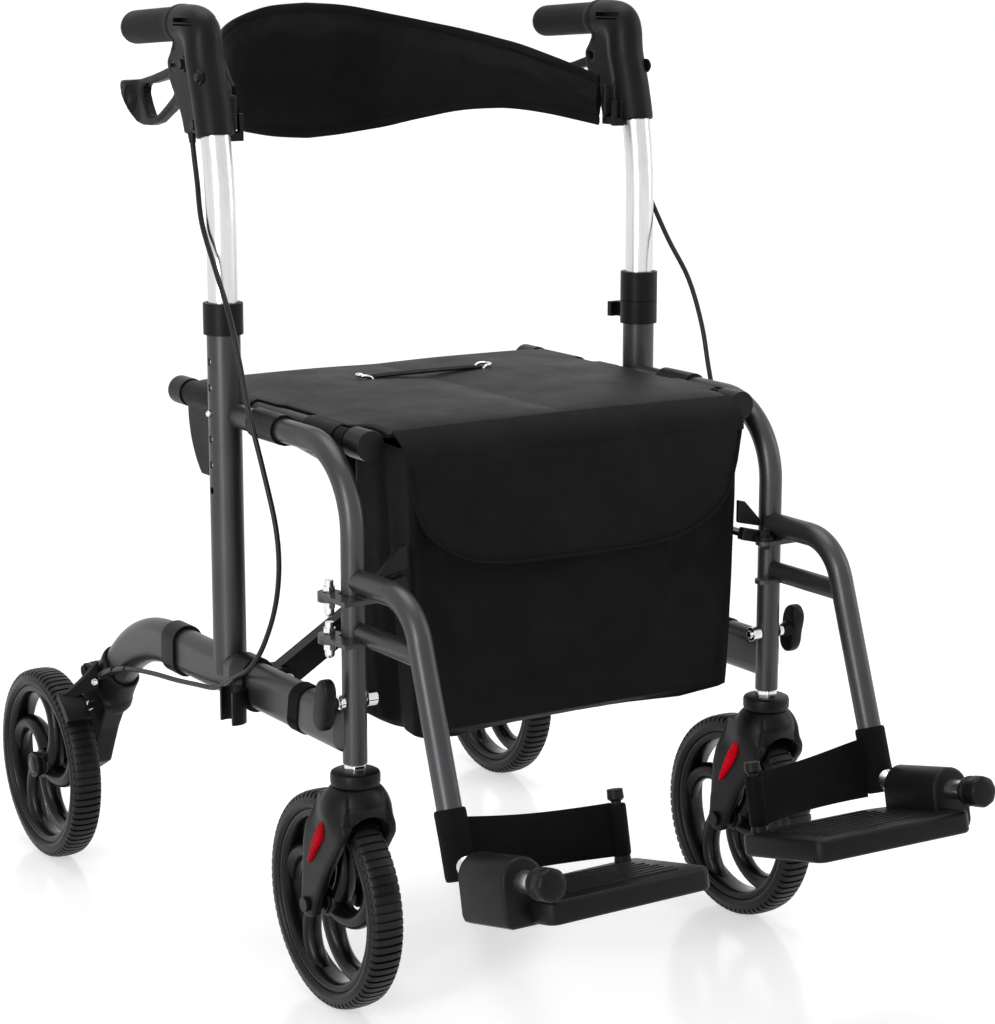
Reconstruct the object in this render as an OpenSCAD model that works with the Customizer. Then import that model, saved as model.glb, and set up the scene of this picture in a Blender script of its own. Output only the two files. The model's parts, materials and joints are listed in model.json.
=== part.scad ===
// Rollator transport chair: a side folding walking frame with a seat, bag and swing away footrests.
// +Z is up, the footrests point to -Y and +X is the sitter's left.

/* [Side frame] */
// Distance of the uprights from the middle of the chair
track_half = 238; // [228:1:252]
// Distance of the front posts inside the uprights
post_inset = 6; // [4:0.5:8]
// Distance of the uprights behind the front posts
upright_y = 232; // [226:1:236]
// Outer diameter of the uprights
upright_d = 31.8; // [30:0.1:34]
// Height of the upright's open end
upright_top = 620; // [600:1:660]
// Outer diameter of the front and footrest tubes
post_d = 22.2; // [20:0.1:24]
// Wall of the round frame tubes
tube_wall = 1.4; // [1:0.1:2]
// Height of the front post's lower end
post_bottom = 241; // [238:1:246]
// Height of the side tube's axis
side_z = 523.5; // [505:0.5:540]
// Bend radius between front post and side tube
side_bend = 75; // [60:1:90]
// Height of the lower tube's axis
lower_z = 273; // [266:1:282]
// Height of the flat sided lower tube
lower_h = 45; // [38:1:50]
// Width of the flat sided lower tube
lower_w = 26; // [22:1:29]
// Wall of the lower tube
lower_wall = 1.8; // [1.2:0.1:2.5]
// Distance behind the front post at which the lower tube starts to bend down
lower_run = 362; // [345:1:380]
// Bend radius of the lower tube
lower_bend = 172; // [160:1:185]
// Angle through which the lower tube bends down
lower_bend_angle = 58; // [52:1:62]
// Gap left for the weld between coped tubes
weld_gap = 0.1; // [0.05:0.05:0.2]

/* [Wheels] */
// Outer diameter of all four wheels
wheel_d = 203.2; // [196:0.2:206]
// Width of the tyres
tyre_w = 33; // [28:0.5:35]
// Radial depth of the tyres
tyre_depth = 17; // [12:0.5:20]
// Width of the rim's band
rim_w = 26; // [20:0.5:27]
// Radius of the wheel hubs
hub_r = 16; // [13:0.5:20]
// Width of the wheel hubs
hub_w = 30; // [26:0.5:32]
// Number of curved spokes in a wheel
spoke_count = 5; // [4:1:7]
// Distance of the rear wheels outside the uprights
wheel_outset = 44; // [43:1:56]
// Distance of the rear axles behind the front posts
rear_axle_y = 576; // [570:1:584]
// Distance of the front axles behind the swivel axis
caster_trail = 39.5; // [36:0.5:44]
// Diameter of the axle bolts
axle_d = 8; // [6:0.5:10]
// Outer half width of the caster fork
fork_half = 30; // [28:0.5:34]
// Room between the front tyre and each fork leg
fork_room = 3; // [2:0.5:4]

/* [Handles] */
// Outer diameter of the handle tubes
handle_d = 28.4; // [26:0.1:28.4]
// Height of the handle tube's lower end
handle_bottom = 462; // [440:1:480]
// Height at which the handle tube starts to curve back
handle_straight = 700; // [690:1:720]
// Radius of the handle tube's backward curve
handle_bend = 420; // [400:5:440]
// Angle of the handle tube's backward curve
handle_lean = 20.5; // [18:0.5:23]
// Diameter of the handle housing
housing_d = 36; // [34:0.5:40]
// Height of the housing's lower edge
housing_bottom = 782; // [776:1:790]
// Radius of the elbow between housing and grip
elbow_r = 38; // [34:1:42]
// Diameter of the hand grip
grip_d = 32; // [30:0.5:34]
// Length of the hand grip behind the elbow
grip_len = 116; // [100:1:130]
// Height of the uppermost height hole
hole_top = 574.7; // [565:0.1:580]
// Distance between height holes
hole_pitch = 24.5; // [22:0.1:26]
// Number of height holes
hole_count = 6; // [4:1:6]
// Diameter of the height holes
hole_d = 7; // [6:0.5:8]
// Height hole that the button sits in, counted from the top
hole_used = 3; // [2:1:3]
// Height of the collar on the upright
collar_h = 30; // [24:1:34]

/* [Brakes] */
// Thickness of the brake lever
lever_t = 11; // [8:0.5:13]
// Gap between brake shoe and tyre when released
shoe_gap = 2.5; // [2:0.1:3]
// Diameter of the brake cable
cable_d = 5; // [4:0.5:5.5]

/* [Footrests] */
// Height of the footrest tube's upper run
hang_z = 408; // [404:1:414]
// Forward length of the footrest tube's upper run
hang_run = 64; // [56:1:72]
// Bend radius of the footrest tube
hang_bend = 50; // [44:1:56]
// Forward lean of the footrest tube
hang_lean = 19.3; // [16:0.1:22]
// Length of the leaning run down to the foot plate axis
foot_drop = 197; // [190:1:205]
// Outer diameter of the foot tube that slides in the footrest tube
foot_tube_d = 19; // [17:0.1:19]
// Upward tilt of the foot plate
foot_tilt = 12.5; // [8:0.5:16]
// Length of the foot tube's forward run, cap included
foot_pin_len = 145; // [140:1:150]
// Distance of the foot plate axis inside the front posts
foot_inset = 2; // [0:0.5:4]
// Width of the foot plate from its axis to its inner edge
plate_w = 173; // [150:1:185]
// Depth of the foot plate from heel to toe
plate_l = 116; // [105:1:120]
// Thickness of the foot plate
plate_t = 20; // [15:0.5:24]
// Depth of the foot plate's top below its axis
plate_drop = 16; // [15.5:0.1:18]
// Number of grip ribs on a foot plate
rib_count = 9; // [5:1:12]
// Height of the heel post
heel_h = 57; // [45:1:65]
// Thickness of the hinge plates
hinge_t = 4; // [3:0.5:5]
// Top height of the lower fixed hinge ear
hinge_low_z = 354; // [350:1:357]
// Top height of the upper fixed hinge ear
hinge_high_z = 392; // [390:1:393]
// Diameter of the hinge bolts
hinge_bolt_d = 8; // [6:0.5:9]
// Height of the wing knob's bolt
knob_z = 298.5; // [297:0.5:305]

/* [Seat and brace] */
// Distance of the seat rails inside the uprights
rail_inset = 33; // [32:0.5:36]
// Height of the seat rails' axis
rail_z = 523; // [515:1:530]
// Outer diameter of the seat rails
rail_d = 22.2; // [20:0.1:22.6]
// Front end of the seat rails
rail_front = 21; // [15:1:28]
// Rear end of the seat rails
rail_rear = 390; // [370:1:400]
// Distance of the brace's lower pivots inside the uprights
brace_inset = 30; // [30:0.5:34]
// Depth of a brace bar
bar_h = 25; // [20:0.5:25]
// Thickness of a brace bar
bar_t = 16; // [12:0.5:17]
// Distance of the brace's middle plane behind the front posts
brace_y = 197; // [190:1:200]
// Half gap between the crossing bars
bar_gap = 1; // [0.6:0.1:1.5]
// Diameter of the brace pins
brace_pin_d = 10; // [8:0.5:11]
// Thickness of the seat halves
seat_t = 11; // [8:0.5:12]
// Half width of the soft strip between the seat halves
seat_crease = 25; // [25:1:32]
// Front edge of the seat
seat_front = 10; // [6:1:20]
// Rear edge of the seat
seat_rear = 378; // [350:1:380]
// Height of the seat's crown
seat_crown = 3; // [1:0.5:5]

/* [Bag and backrest] */
// Distance of the bag's sides inside the seat rails
bag_inset = 27; // [20:1:45]
// Front face of the bag
bag_front = -12; // [-16:1:-8]
// Depth of the bag
bag_depth = 108; // [80:1:130]
// Height of the bag's underside
bag_bottom = 257; // [245:1:275]
// Height of the bag's upper edge
bag_top = 519; // [505:1:520]
// Depth of the backrest's bow behind its ends
back_bow = 238; // [200:1:250]
// Thickness of the backrest pad
back_t = 12; // [8:0.5:16]
// Height of the backrest's top edge in the middle
back_top = 898; // [880:1:905]
// Height of the backrest's lower edge in the middle
back_low = 758; // [745:1:775]

/* [Hidden] */
$fn = 48;
// Clearances between pieces
slide_gap = 0.3;
running_gap = 0.05;
stack_gap = 0.3;
fit_gap = 0.1;
seam = 0.3;
seam_step = 0.2;

post_half = track_half - post_inset;
foot_half = post_half - foot_inset;
rail_half = track_half - rail_inset;
brace_half = track_half - brace_inset;
rear_track_half = track_half + wheel_outset;
bag_half = rail_half - bag_inset;
back_half = track_half - housing_d / 2 - 13;

wheel_r = wheel_d / 2;
axle_r = axle_d / 2;
rim_r = wheel_r - tyre_depth - fit_gap;
upright_bore = upright_d - 2 * tube_wall;
post_bore = post_d - 2 * tube_wall;

// Footrest geometry in the YZ plane
hang_end = [-hang_run - hang_bend * cos(hang_lean), hang_z - hang_bend + hang_bend * sin(hang_lean)];
hang_dir = [-sin(hang_lean), -cos(hang_lean)];
foot_axis = hang_end + foot_drop * hang_dir;
foot_turn = 90 - hang_lean + foot_tilt;
foot_bend = 30;
foot_tangent = foot_bend * tan(foot_turn / 2);
foot_cap_r = 14;
foot_front = foot_axis[0] - foot_pin_len * cos(foot_tilt) - foot_cap_r * sin(foot_tilt);
sleeve_top = 120;
sleeve_len = 58;

// The origin is on the floor under the middle of the chair
y_mid = (rear_axle_y + wheel_r + foot_front) / 2;

// Swing hinge of the footrest, seen from the front post
hinge_dx = 15;
hinge_dy = 17;
hinge_eye = 10.5;
latch_x = post_half - 22;
latch_y = -post_d / 2 - 5;

// Lower tube end
lower_end = [lower_run + lower_bend * sin(lower_bend_angle),
             lower_z - lower_bend * (1 - cos(lower_bend_angle))];

// Handle geometry in the YZ plane
grip_z = 883;
bend_end = [upright_y + handle_bend * (1 - cos(handle_lean)),
            handle_straight + handle_bend * sin(handle_lean)];
elbow_rise = grip_z - bend_end[1] - elbow_r * (1 - sin(handle_lean));
elbow_start = bend_end + elbow_rise * [tan(handle_lean), 1];
elbow_centre = elbow_start + elbow_r * [cos(handle_lean), -sin(handle_lean)];
lever_pivot = [elbow_centre[0] + 10, grip_z - 37];
lever_pin_r = 4;
button_z = hole_top - (hole_used - 1) * hole_pitch;

// Brake shoe in polar form round the rear axle
brake_pivot_angle = 116;
brake_pivot_r = wheel_r + 21;
brake_pin_r = 4;
shoe_from = 124;
shoe_to = 142;

// Brace
brace_rise = rail_z - lower_z;
brace_angle = atan(brace_rise / (brace_half + rail_half));
brace_len = norm([brace_half + rail_half, brace_rise]);
brace_cross = brace_half / cos(brace_angle);
ear_t = 5;
clamp_t = 4;
bar_a_y = brace_y - bar_gap - bar_t;
bar_b_y = brace_y + bar_gap;
rail_r = rail_d / 2;
sleeve_r = rail_r + slide_gap;
wrap_r = sleeve_r + 1.8;
saddle_from = 126;
saddle_to = bar_a_y - 4;
rear_saddle_from = 262;
rear_saddle_to = 290;

// Route of the left brake cable: outside the upright, the side tube and the lower tube
cable_route = [
    [track_half + 8, upright_y + 41, housing_bottom - 0.6], [track_half + 9, upright_y + 36, 766],
    [track_half + 11, upright_y + 26, 740], [track_half + 17, upright_y + 6, 704],
    [track_half + 19, upright_y - 24, 664], [track_half + 22, upright_y - 56, 626],
    [track_half + 23, 154, 582], [track_half + 22, 140, 540], [track_half + 19, 120, 490],
    [track_half + 15, 105, 440], [track_half + 14, 102, 400], [track_half + 14, 112, 360],
    [track_half + 16, 132, 322], [track_half + 19, 152, 298], [track_half + 21, 172, lower_z + 13],
    [track_half + 21, 196, lower_z + 2], [track_half + 21, 224, lower_z - 11],
    [track_half + 21, 264, lower_z - 17], [track_half + 21, 310, lower_z - 23],
    [track_half + 21, 360, lower_z - 28], [track_half + 21, 410, lower_z - 35],
    [track_half + 21, lower_end[0] - 58, lower_end[1] + 37],
    [track_half + 21, lower_end[0] - 28, lower_end[1] + 25]
];

// Helpers

module on_left() translate([0, -y_mid, 0]) children();

module on_right() translate([0, -y_mid, 0]) mirror([1, 0, 0]) children();

module framed() translate([0, -y_mid, 0]) children();

module at_yz(x, p) translate([x, p[0], p[1]]) children();

// Turns a profile about the X axis, from angle a0 to a1 measured from +Y towards +Z
module bend_yz(radius, a0, a1)
    rotate([90, 0, 90])
        rotate([0, 0, a0])
            rotate_extrude(angle = a1 - a0)
                translate([radius, 0])
                    children();

// Extrudes a YZ outline along X
module along_x(x0, x1)
    translate([x0, 0, 0])
        rotate([90, 0, 90])
            linear_extrude(x1 - x0)
                children();

// Extrudes an XZ outline along Y
module along_y(y0, y1)
    translate([0, y1, 0])
        rotate([90, 0, 0])
            linear_extrude(y1 - y0)
                children();

module rod_x(x0, x1, r) translate([x0, 0, 0]) rotate([0, 90, 0]) cylinder(h = x1 - x0, r = r);

module rod_y(y0, y1, r) translate([0, y1, 0]) rotate([90, 0, 0]) cylinder(h = y1 - y0, r = r);

// Bent tubes are rings, the bend drawn a hair inside the straight runs that overlap it
module ring_outline(d, wall)
    difference() {
        circle(d = d);
        circle(d = d - 2 * wall);
    }

module slot_ring(h, w, wall)
    difference() {
        slot_outline(h, w);
        slot_outline(h - 2 * wall, w - 2 * wall);
    }

module slot_outline(h, w) {
    square([h - w, w], center = true);
    for (side = [-1, 1])
        translate([side * (h - w) / 2, 0])
            circle(d = w);
}

// Skins a row of rings with triangles and closes both ends
module loft(rings) {
    n = len(rings[0]);
    last = len(rings) - 1;
    points = [for (ring = rings) each ring];
    sides = [for (i = [0 : last - 1], j = [0 : n - 1])
        let (k = (j + 1) % n)
        each [[i * n + j, (i + 1) * n + j, (i + 1) * n + k], [i * n + j, (i + 1) * n + k, i * n + k]]];
    caps = [[for (j = [0 : n - 1]) j], [for (j = [n - 1 : -1 : 0]) last * n + j]];
    polyhedron(points, concat(sides, caps), convexity = 6);
}

function curve_point(a, b, c, d, t) =
    0.5 * (2 * b + (c - a) * t + (2 * a - 5 * b + 4 * c - d) * t * t + (3 * b - a - 3 * c + d) * t * t * t);

function smooth_route(p, steps) = [
    for (i = [0 : len(p) - 2], s = [0 : steps - 1])
        curve_point(p[max(i - 1, 0)], p[i], p[i + 1], p[min(i + 2, len(p) - 1)], s / steps),
    p[len(p) - 1]
];

function unit(v) = v / norm(v);

function cable_rings(path, r, sides) = [
    for (i = [0 : len(path) - 1])
        let (
            ahead = unit(path[min(i + 1, len(path) - 1)] - path[max(i - 1, 0)]),
            across = unit(cross(ahead, [1, 0, 0])),
            out = cross(across, ahead)
        )
        [for (j = [0 : sides - 1])
            path[i] + r * (cos(360 * j / sides) * across + sin(360 * j / sides) * out)]
];

// Side frame

module lower_tube_path(h, w, from_y) {
    translate([track_half, 0, lower_z])
        rotate([0, 90, 0])
            along_y(from_y, lower_run)
                slot_outline(h, w);
    at_yz(track_half, [lower_run, lower_z - lower_bend])
        bend_yz(lower_bend, 90 - lower_bend_angle, 90)
            slot_outline(h, w);
}

module lower_tube() color("dimgray")
    difference() {
        union() {
            translate([track_half, 0, lower_z])
                rotate([0, 90, 0])
                    along_y(post_d / 4, lower_run + seam)
                        slot_ring(lower_h, lower_w, lower_wall);
            at_yz(track_half, [lower_run, lower_z - lower_bend])
                bend_yz(lower_bend, 90 - lower_bend_angle, 90)
                    slot_ring(lower_h - seam_step, lower_w - seam_step, lower_wall - seam_step);
        }
        translate([post_half, 0, 0])
            cylinder(h = side_z, d = post_d + 2 * weld_gap);
    }

module upright() color("dimgray")
    difference() {
        translate([track_half, upright_y, lower_z])
            cylinder(h = upright_top - lower_z, d = upright_d);
        translate([track_half, upright_y, lower_z - 1])
            cylinder(h = upright_top - lower_z + 2, d = upright_bore);
        lower_tube_path(lower_h + 2 * weld_gap, lower_w + 2 * weld_gap, 0);
        for (i = [0 : hole_count - 1])
            translate([track_half, upright_y, hole_top - i * hole_pitch])
                rod_x(upright_bore / 4, upright_d, hole_d / 2);
    }

module front_tube_path(d, low, back_y) {
    translate([post_half, 0, low])
        cylinder(h = side_z - side_bend - low, d = d);
    at_yz(post_half, [side_bend, side_z - side_bend])
        bend_yz(side_bend, 90, 180)
            circle(d = d);
    translate([post_half, 0, side_z])
        rod_y(side_bend, back_y, d / 2);
}

// Fixed hinge ear beside the post
module hinge_ear(top_z)
    translate([post_half, 0, top_z - hinge_t])
        linear_extrude(hinge_t) {
            translate([hinge_dx, hinge_dy])
                circle(r = hinge_eye);
            rotate([0, 0, atan2(hinge_dy, hinge_dx)])
                translate([post_d / 4, -hinge_eye * 0.8])
                    square([norm([hinge_dx, hinge_dy]) - post_d / 4, hinge_eye * 1.6]);
        }

module hinge_axis_at(z) translate([post_half + hinge_dx, hinge_dy, z]) children();

module front_tube() color("dimgray")
    difference() {
        union() {
            front_tube_path(post_d, post_bottom, upright_y);
            hinge_ear(hinge_low_z);
            hinge_ear(hinge_high_z);
        }
        front_tube_path(post_bore, post_bottom - 1, upright_y + 1);
        translate([track_half, upright_y, lower_z])
            cylinder(h = upright_top, d = upright_d + 2 * weld_gap);
        hinge_axis_at(hinge_low_z - 2 * hinge_t)
            cylinder(h = hinge_high_z, r = hinge_bolt_d / 2 + running_gap);
        translate([post_half, 0, knob_z])
            rod_x(-post_d, post_d, knob_bolt_r + running_gap);
    }

collar_wall = 3;
collar_bottom = upright_top - 20;

module collar() color("black")
    translate([track_half, upright_y, 0])
        difference() {
            translate([0, 0, collar_bottom])
                cylinder(h = collar_h, d = upright_d + 2 * collar_wall);
            translate([0, 0, collar_bottom - 1])
                cylinder(h = upright_top - collar_bottom + 1 + fit_gap, d = upright_d + 2 * fit_gap);
            translate([0, 0, upright_top - 1])
                cylinder(h = collar_h, d = handle_d + 2 * slide_gap);
        }

clip_h = 23;
clip_reach = 20;

// Ring below the left collar, with the tab that holds the folded chair shut
module fold_clip() color("black")
    translate([track_half, upright_y, collar_bottom - clip_h - fit_gap])
        difference() {
            union() {
                cylinder(h = clip_h, d = upright_d + 2 * collar_wall);
                translate([-6, 0, 4])
                    cube([12, upright_d / 2 + clip_reach, clip_h - 8]);
                translate([-14, upright_d / 2 + clip_reach - 6, 4])
                    cube([14, 6, clip_h - 8]);
            }
            translate([0, 0, -1])
                cylinder(h = clip_h + 2, d = upright_d + 2 * fit_gap);
        }

saddle_wall = 3;

// Open cradle under the rail, joined to a wrap round the side tube
module saddle_outline() {
    difference() {
        union() {
            translate([post_half, side_z])
                circle(d = post_d + 2 * saddle_wall);
            translate([rail_half, rail_z])
                circle(r = sleeve_r + saddle_wall);
            translate([rail_half, rail_z - sleeve_r - saddle_wall])
                square([post_half - rail_half, sleeve_r]);
        }
        translate([post_half, side_z])
            circle(d = post_d + 2 * fit_gap);
        translate([rail_half, rail_z])
            circle(r = sleeve_r);
        translate([rail_half - 2 * rail_d, rail_z])
            square([2 * rail_d + sleeve_r, 2 * rail_d]);
    }
}

plate_x = track_half - 10;
half_moon_h = 66;
half_moon_depth = 72;

// Half moon plate behind the upright, with the rear cradle
module rear_saddle() {
    difference() {
        union() {
            along_x(plate_x, plate_x + 6)
                intersection() {
                    translate([upright_y, rail_z - 3])
                        circle(r = half_moon_depth + upright_d / 2);
                    translate([upright_y, rail_z - half_moon_h])
                        square([half_moon_depth + upright_d, half_moon_h - 3]);
                }
            along_y(rear_saddle_from, rear_saddle_to)
                difference() {
                    union() {
                        translate([rail_half, rail_z])
                            circle(r = sleeve_r + saddle_wall);
                        translate([rail_half, rail_z - sleeve_r - saddle_wall])
                            square([plate_x - rail_half + 1, saddle_wall * 2]);
                    }
                    translate([rail_half, rail_z])
                        circle(r = sleeve_r);
                    translate([rail_half - 2 * rail_d, rail_z])
                        square([4 * rail_d, 2 * rail_d]);
                }
        }
        translate([track_half, upright_y, 0])
            cylinder(h = upright_top, d = upright_d + 2 * fit_gap);
    }
}

module seat_saddles() color("black") {
    along_y(saddle_from, saddle_to)
        saddle_outline();
    rear_saddle();
}

knob_bolt_r = 3.5;
clip_ring_r = 11.3;
cable_clip_y = 325;
cable_clip_w = 26;

clip_ring_h = 32;
clip_x = track_half + lower_w / 2 + clamp_t + clip_ring_r + 2 * fit_gap;

// Spring clip for a cane, open to the outside
module clip_outline()
    difference() {
        union() {
            circle(r = clip_ring_r + 3);
            translate([-clip_ring_r - 3, 0])
                square([3, clip_ring_r + 12]);
        }
        circle(r = clip_ring_r);
        translate([clip_ring_r * 0.45, -2 * clip_ring_r])
            square([2 * clip_ring_r, 4 * clip_ring_r]);
    }

module tube_ring(wall)
    difference() {
        slot_outline(lower_h + 2 * wall, lower_w + 2 * wall);
        slot_outline(lower_h + 2 * fit_gap, lower_w + 2 * fit_gap);
    }

module on_lower_tube(y0, y1)
    translate([track_half, 0, lower_z])
        rotate([0, 90, 0])
            along_y(y0, y1)
                children();

// Clamp with the ears of the lower brace pivot, a spring clip outside it and the cable clip
module tube_clamps(bar_y) color("black") {
    ear_y = [bar_y - stack_gap - ear_t, bar_y + bar_t + stack_gap];
    difference() {
        union() {
            on_lower_tube(ear_y[0], ear_y[1] + ear_t)
                tube_ring(clamp_t);
            for (y = ear_y)
                along_y(y, y + ear_t)
                    difference() {
                        union() {
                            translate([brace_half, lower_z])
                                circle(d = bar_h);
                            translate([brace_half, lower_z - bar_h / 2])
                                square([track_half - brace_half, bar_h]);
                        }
                        translate([track_half, lower_z])
                            rotate([0, 0, 90])
                                slot_outline(lower_h + 2 * fit_gap, lower_w + 2 * fit_gap);
                    }
            translate([clip_x, brace_y - 22, lower_z - clip_ring_h])
                linear_extrude(clip_ring_h)
                    clip_outline();
        }
        translate([brace_half, 0, lower_z])
            rod_y(bar_y - bar_t, bar_y + 2 * bar_t, brace_pin_d / 2 + running_gap);
        translate([track_half, upright_y, lower_z])
            cylinder(h = lower_h, d = upright_d + 2 * fit_gap);
    }
    on_lower_tube(cable_clip_y, cable_clip_y + cable_clip_w)
        tube_ring(3.5);
}

// Rear bracket

socket_wall = 4;
socket_angle = 13;
leg_x = [track_half - 6, track_half + 19];
boss_r = 17;
brake_pin_in = 12;
cable_end = cable_route[len(cable_route) - 1];
brake_pin_yz = [rear_axle_y, wheel_r] + brake_pivot_r * [cos(brake_pivot_angle), sin(brake_pivot_angle)];

module lower_end_frame()
    at_yz(track_half, lower_end)
        rotate([-90 - lower_bend_angle, 0, 0])
            children();

module rear_leg_outline()
    difference() {
        union() {
            translate([rear_axle_y, wheel_r])
                circle(r = boss_r);
            polygon([
                lower_end + [20, 12], lower_end + [-22, -14], lower_end + [-2, -42],
                [rear_axle_y - 48, wheel_r + 6], [rear_axle_y - 8, wheel_r - 15],
                [rear_axle_y + 15, wheel_r + 8], [rear_axle_y - 22, wheel_r + 66]
            ]);
            polygon([
                brake_pin_yz + [-5, 0], brake_pin_yz + [7, 0], [rear_axle_y - 30, wheel_r + 50],
                [rear_axle_y - 44, wheel_r + 40]
            ]);
        }
        translate([rear_axle_y, wheel_r])
            circle(r = axle_r + fit_gap);
    }

module brake_pin_at(x) at_yz(x, brake_pin_yz) children();

module rear_bracket() color("black")
    difference() {
        union() {
            at_yz(track_half, [lower_run, lower_z - lower_bend])
                bend_yz(lower_bend, 90 - lower_bend_angle, 90 - lower_bend_angle + socket_angle)
                    slot_outline(lower_h + 2 * socket_wall, lower_w + 2 * socket_wall);
            at_yz(track_half, lower_end)
                rotate([-lower_bend_angle, 0, 0])
                    rotate([0, 90, 0])
                        along_y(-3, 9)
                            slot_outline(lower_h + 2 * socket_wall + 2, lower_w + 2 * socket_wall + 2);
            along_x(leg_x[0], leg_x[1])
                rear_leg_outline();
            translate(cable_end)
                rotate([-22, 0, 0])
                    rod_y(stack_gap, 12, cable_d);
            brake_pin_at(track_half)
                rod_x(0, leg_x[1] - track_half, 9);
        }
        lower_tube_path(lower_h + 2 * fit_gap, lower_w + 2 * fit_gap, 0);
        brake_pin_at(track_half)
            rod_x(brake_pin_in, 60, brake_pin_r + fit_gap);
        at_yz(0, [rear_axle_y, wheel_r])
            rod_x(leg_x[0] - 1, leg_x[1] + 1, axle_r + fit_gap);
    }

// Bolts of the side frame

acorn_r = 6;

module acorn_nut() {
    cylinder(h = 6, r = acorn_r, $fn = 6);
    translate([0, 0, -4])
        cylinder(h = 4, r = acorn_r * 0.75);
    translate([0, 0, -4])
        sphere(r = acorn_r * 0.75);
}

module hinge_bolt(ear_top) {
    r = hinge_bolt_d / 2;
    hinge_axis_at(ear_top - hinge_t - 6 - fit_gap)
        acorn_nut();
    hinge_axis_at(ear_top - hinge_t - 6 - fit_gap)
        cylinder(h = 2 * hinge_t + 17, r = r);
    hinge_axis_at(ear_top + hinge_t + 2 * stack_gap)
        cylinder(h = 5, r = acorn_r, $fn = 6);
}

axle_head = 5;

module frame_bolts(bar_y) color("silver") {
    hinge_bolt(hinge_low_z);
    hinge_bolt(hinge_high_z);
    at_yz(0, [rear_axle_y, wheel_r]) {
        rod_x(leg_x[0] - 5, rear_track_half + hub_w / 2 + stack_gap + axle_head, axle_r);
        rod_x(rear_track_half + hub_w / 2 + stack_gap, rear_track_half + hub_w / 2 + stack_gap + axle_head, 9);
        rod_x(leg_x[0] - 5 - fit_gap, leg_x[0] - fit_gap, 8);
        rod_x(leg_x[1] + fit_gap, rear_track_half - hub_w / 2 - stack_gap, axle_r + 3);
    }
    brake_pin_at(0) {
        rod_x(track_half + brake_pin_in, leg_x[1] + 7, brake_pin_r);
        rod_x(leg_x[1] + 7, leg_x[1] + 8, brake_pin_r + 2);
    }
    translate([brace_half, 0, lower_z]) {
        rod_y(bar_y - ear_t - 3, bar_y + bar_t + ear_t + 3, brace_pin_d / 2);
        rod_y(bar_y - ear_t - 3, bar_y - ear_t - stack_gap - fit_gap, brace_pin_d / 2 + 3);
        rod_y(bar_y + bar_t + ear_t + stack_gap + fit_gap, bar_y + bar_t + ear_t + 3, brace_pin_d / 2 + 3);
    }
}

module brake_cable() color("black")
    loft(cable_rings(smooth_route(cable_route, 3), cable_d / 2, 8));

// Handle

module handle_path(d, low) {
    translate([track_half, upright_y, low])
        cylinder(h = handle_straight - low, d = d);
    at_yz(track_half, [upright_y + handle_bend, handle_straight])
        bend_yz(handle_bend, 180 - handle_lean, 180)
            circle(d = d);
}

module handle_tube() color("gainsboro")
    difference() {
        union() {
            translate([track_half, upright_y, handle_bottom])
                linear_extrude(handle_straight - handle_bottom + seam)
                    ring_outline(handle_d, tube_wall);
            at_yz(track_half, [upright_y + handle_bend, handle_straight])
                bend_yz(handle_bend, 180 - handle_lean, 180)
                    ring_outline(handle_d - seam_step, tube_wall - seam_step);
        }
        translate([track_half, upright_y, button_z])
            rod_x(0, handle_d, hole_d / 2);
    }

housing_angle = asin((housing_bottom - handle_straight) / handle_bend);
clip_tab = [16, 7, 34];
slot_room = 0.4;

module housing_web_outline()
    polygon([
        [bend_end[0] - 8, housing_bottom + 3], [bend_end[0] + 28, housing_bottom + 1],
        [bend_end[0] + 34, housing_bottom + 18], [lever_pivot[0] + 9, lever_pivot[1] - 12],
        [lever_pivot[0] + 12, lever_pivot[1] + 4], [lever_pivot[0] + 2, lever_pivot[1] + 16],
        [elbow_centre[0] - 6, grip_z - 4], [bend_end[0], bend_end[1]]
    ]);

module handle_grip() color("black")
    difference() {
        union() {
            at_yz(track_half, [upright_y + handle_bend, handle_straight])
                bend_yz(handle_bend, 180 - handle_lean, 180 - housing_angle)
                    circle(d = housing_d);
            at_yz(track_half, bend_end)
                rotate([-handle_lean, 0, 0])
                    cylinder(h = elbow_rise / cos(handle_lean), d = housing_d);
            at_yz(track_half, elbow_centre)
                bend_yz(elbow_r, 90, 180 - handle_lean)
                    circle(d = housing_d);
            translate([track_half, 0, grip_z]) {
                rod_y(elbow_centre[0], elbow_centre[0] + 12, housing_d / 2);
                rod_y(elbow_centre[0], elbow_centre[0] + grip_len, grip_d / 2);
                translate([0, elbow_centre[0] + grip_len, 0])
                    sphere(d = grip_d);
            }
            along_x(track_half - 10, track_half + 10)
                housing_web_outline();
            translate([track_half - housing_d / 2 - clip_tab[0] + 4, bend_end[0] - 6, housing_bottom + 4])
                cube(clip_tab);
        }
        handle_path(handle_d + 2 * fit_gap, handle_straight);
        along_x(track_half - lever_t / 2 - slot_room, track_half + lever_t / 2 + slot_room) {
            translate(lever_pivot)
                circle(r = 15);
            translate(lever_pivot + [-9, -42])
                square([39, 50]);
        }
        at_yz(track_half, lever_pivot)
            rod_x(-housing_d, housing_d, lever_pin_r + running_gap);
    }

// Brake lever: a closed finger loop with a flared pad

lever_len = 140;

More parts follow.
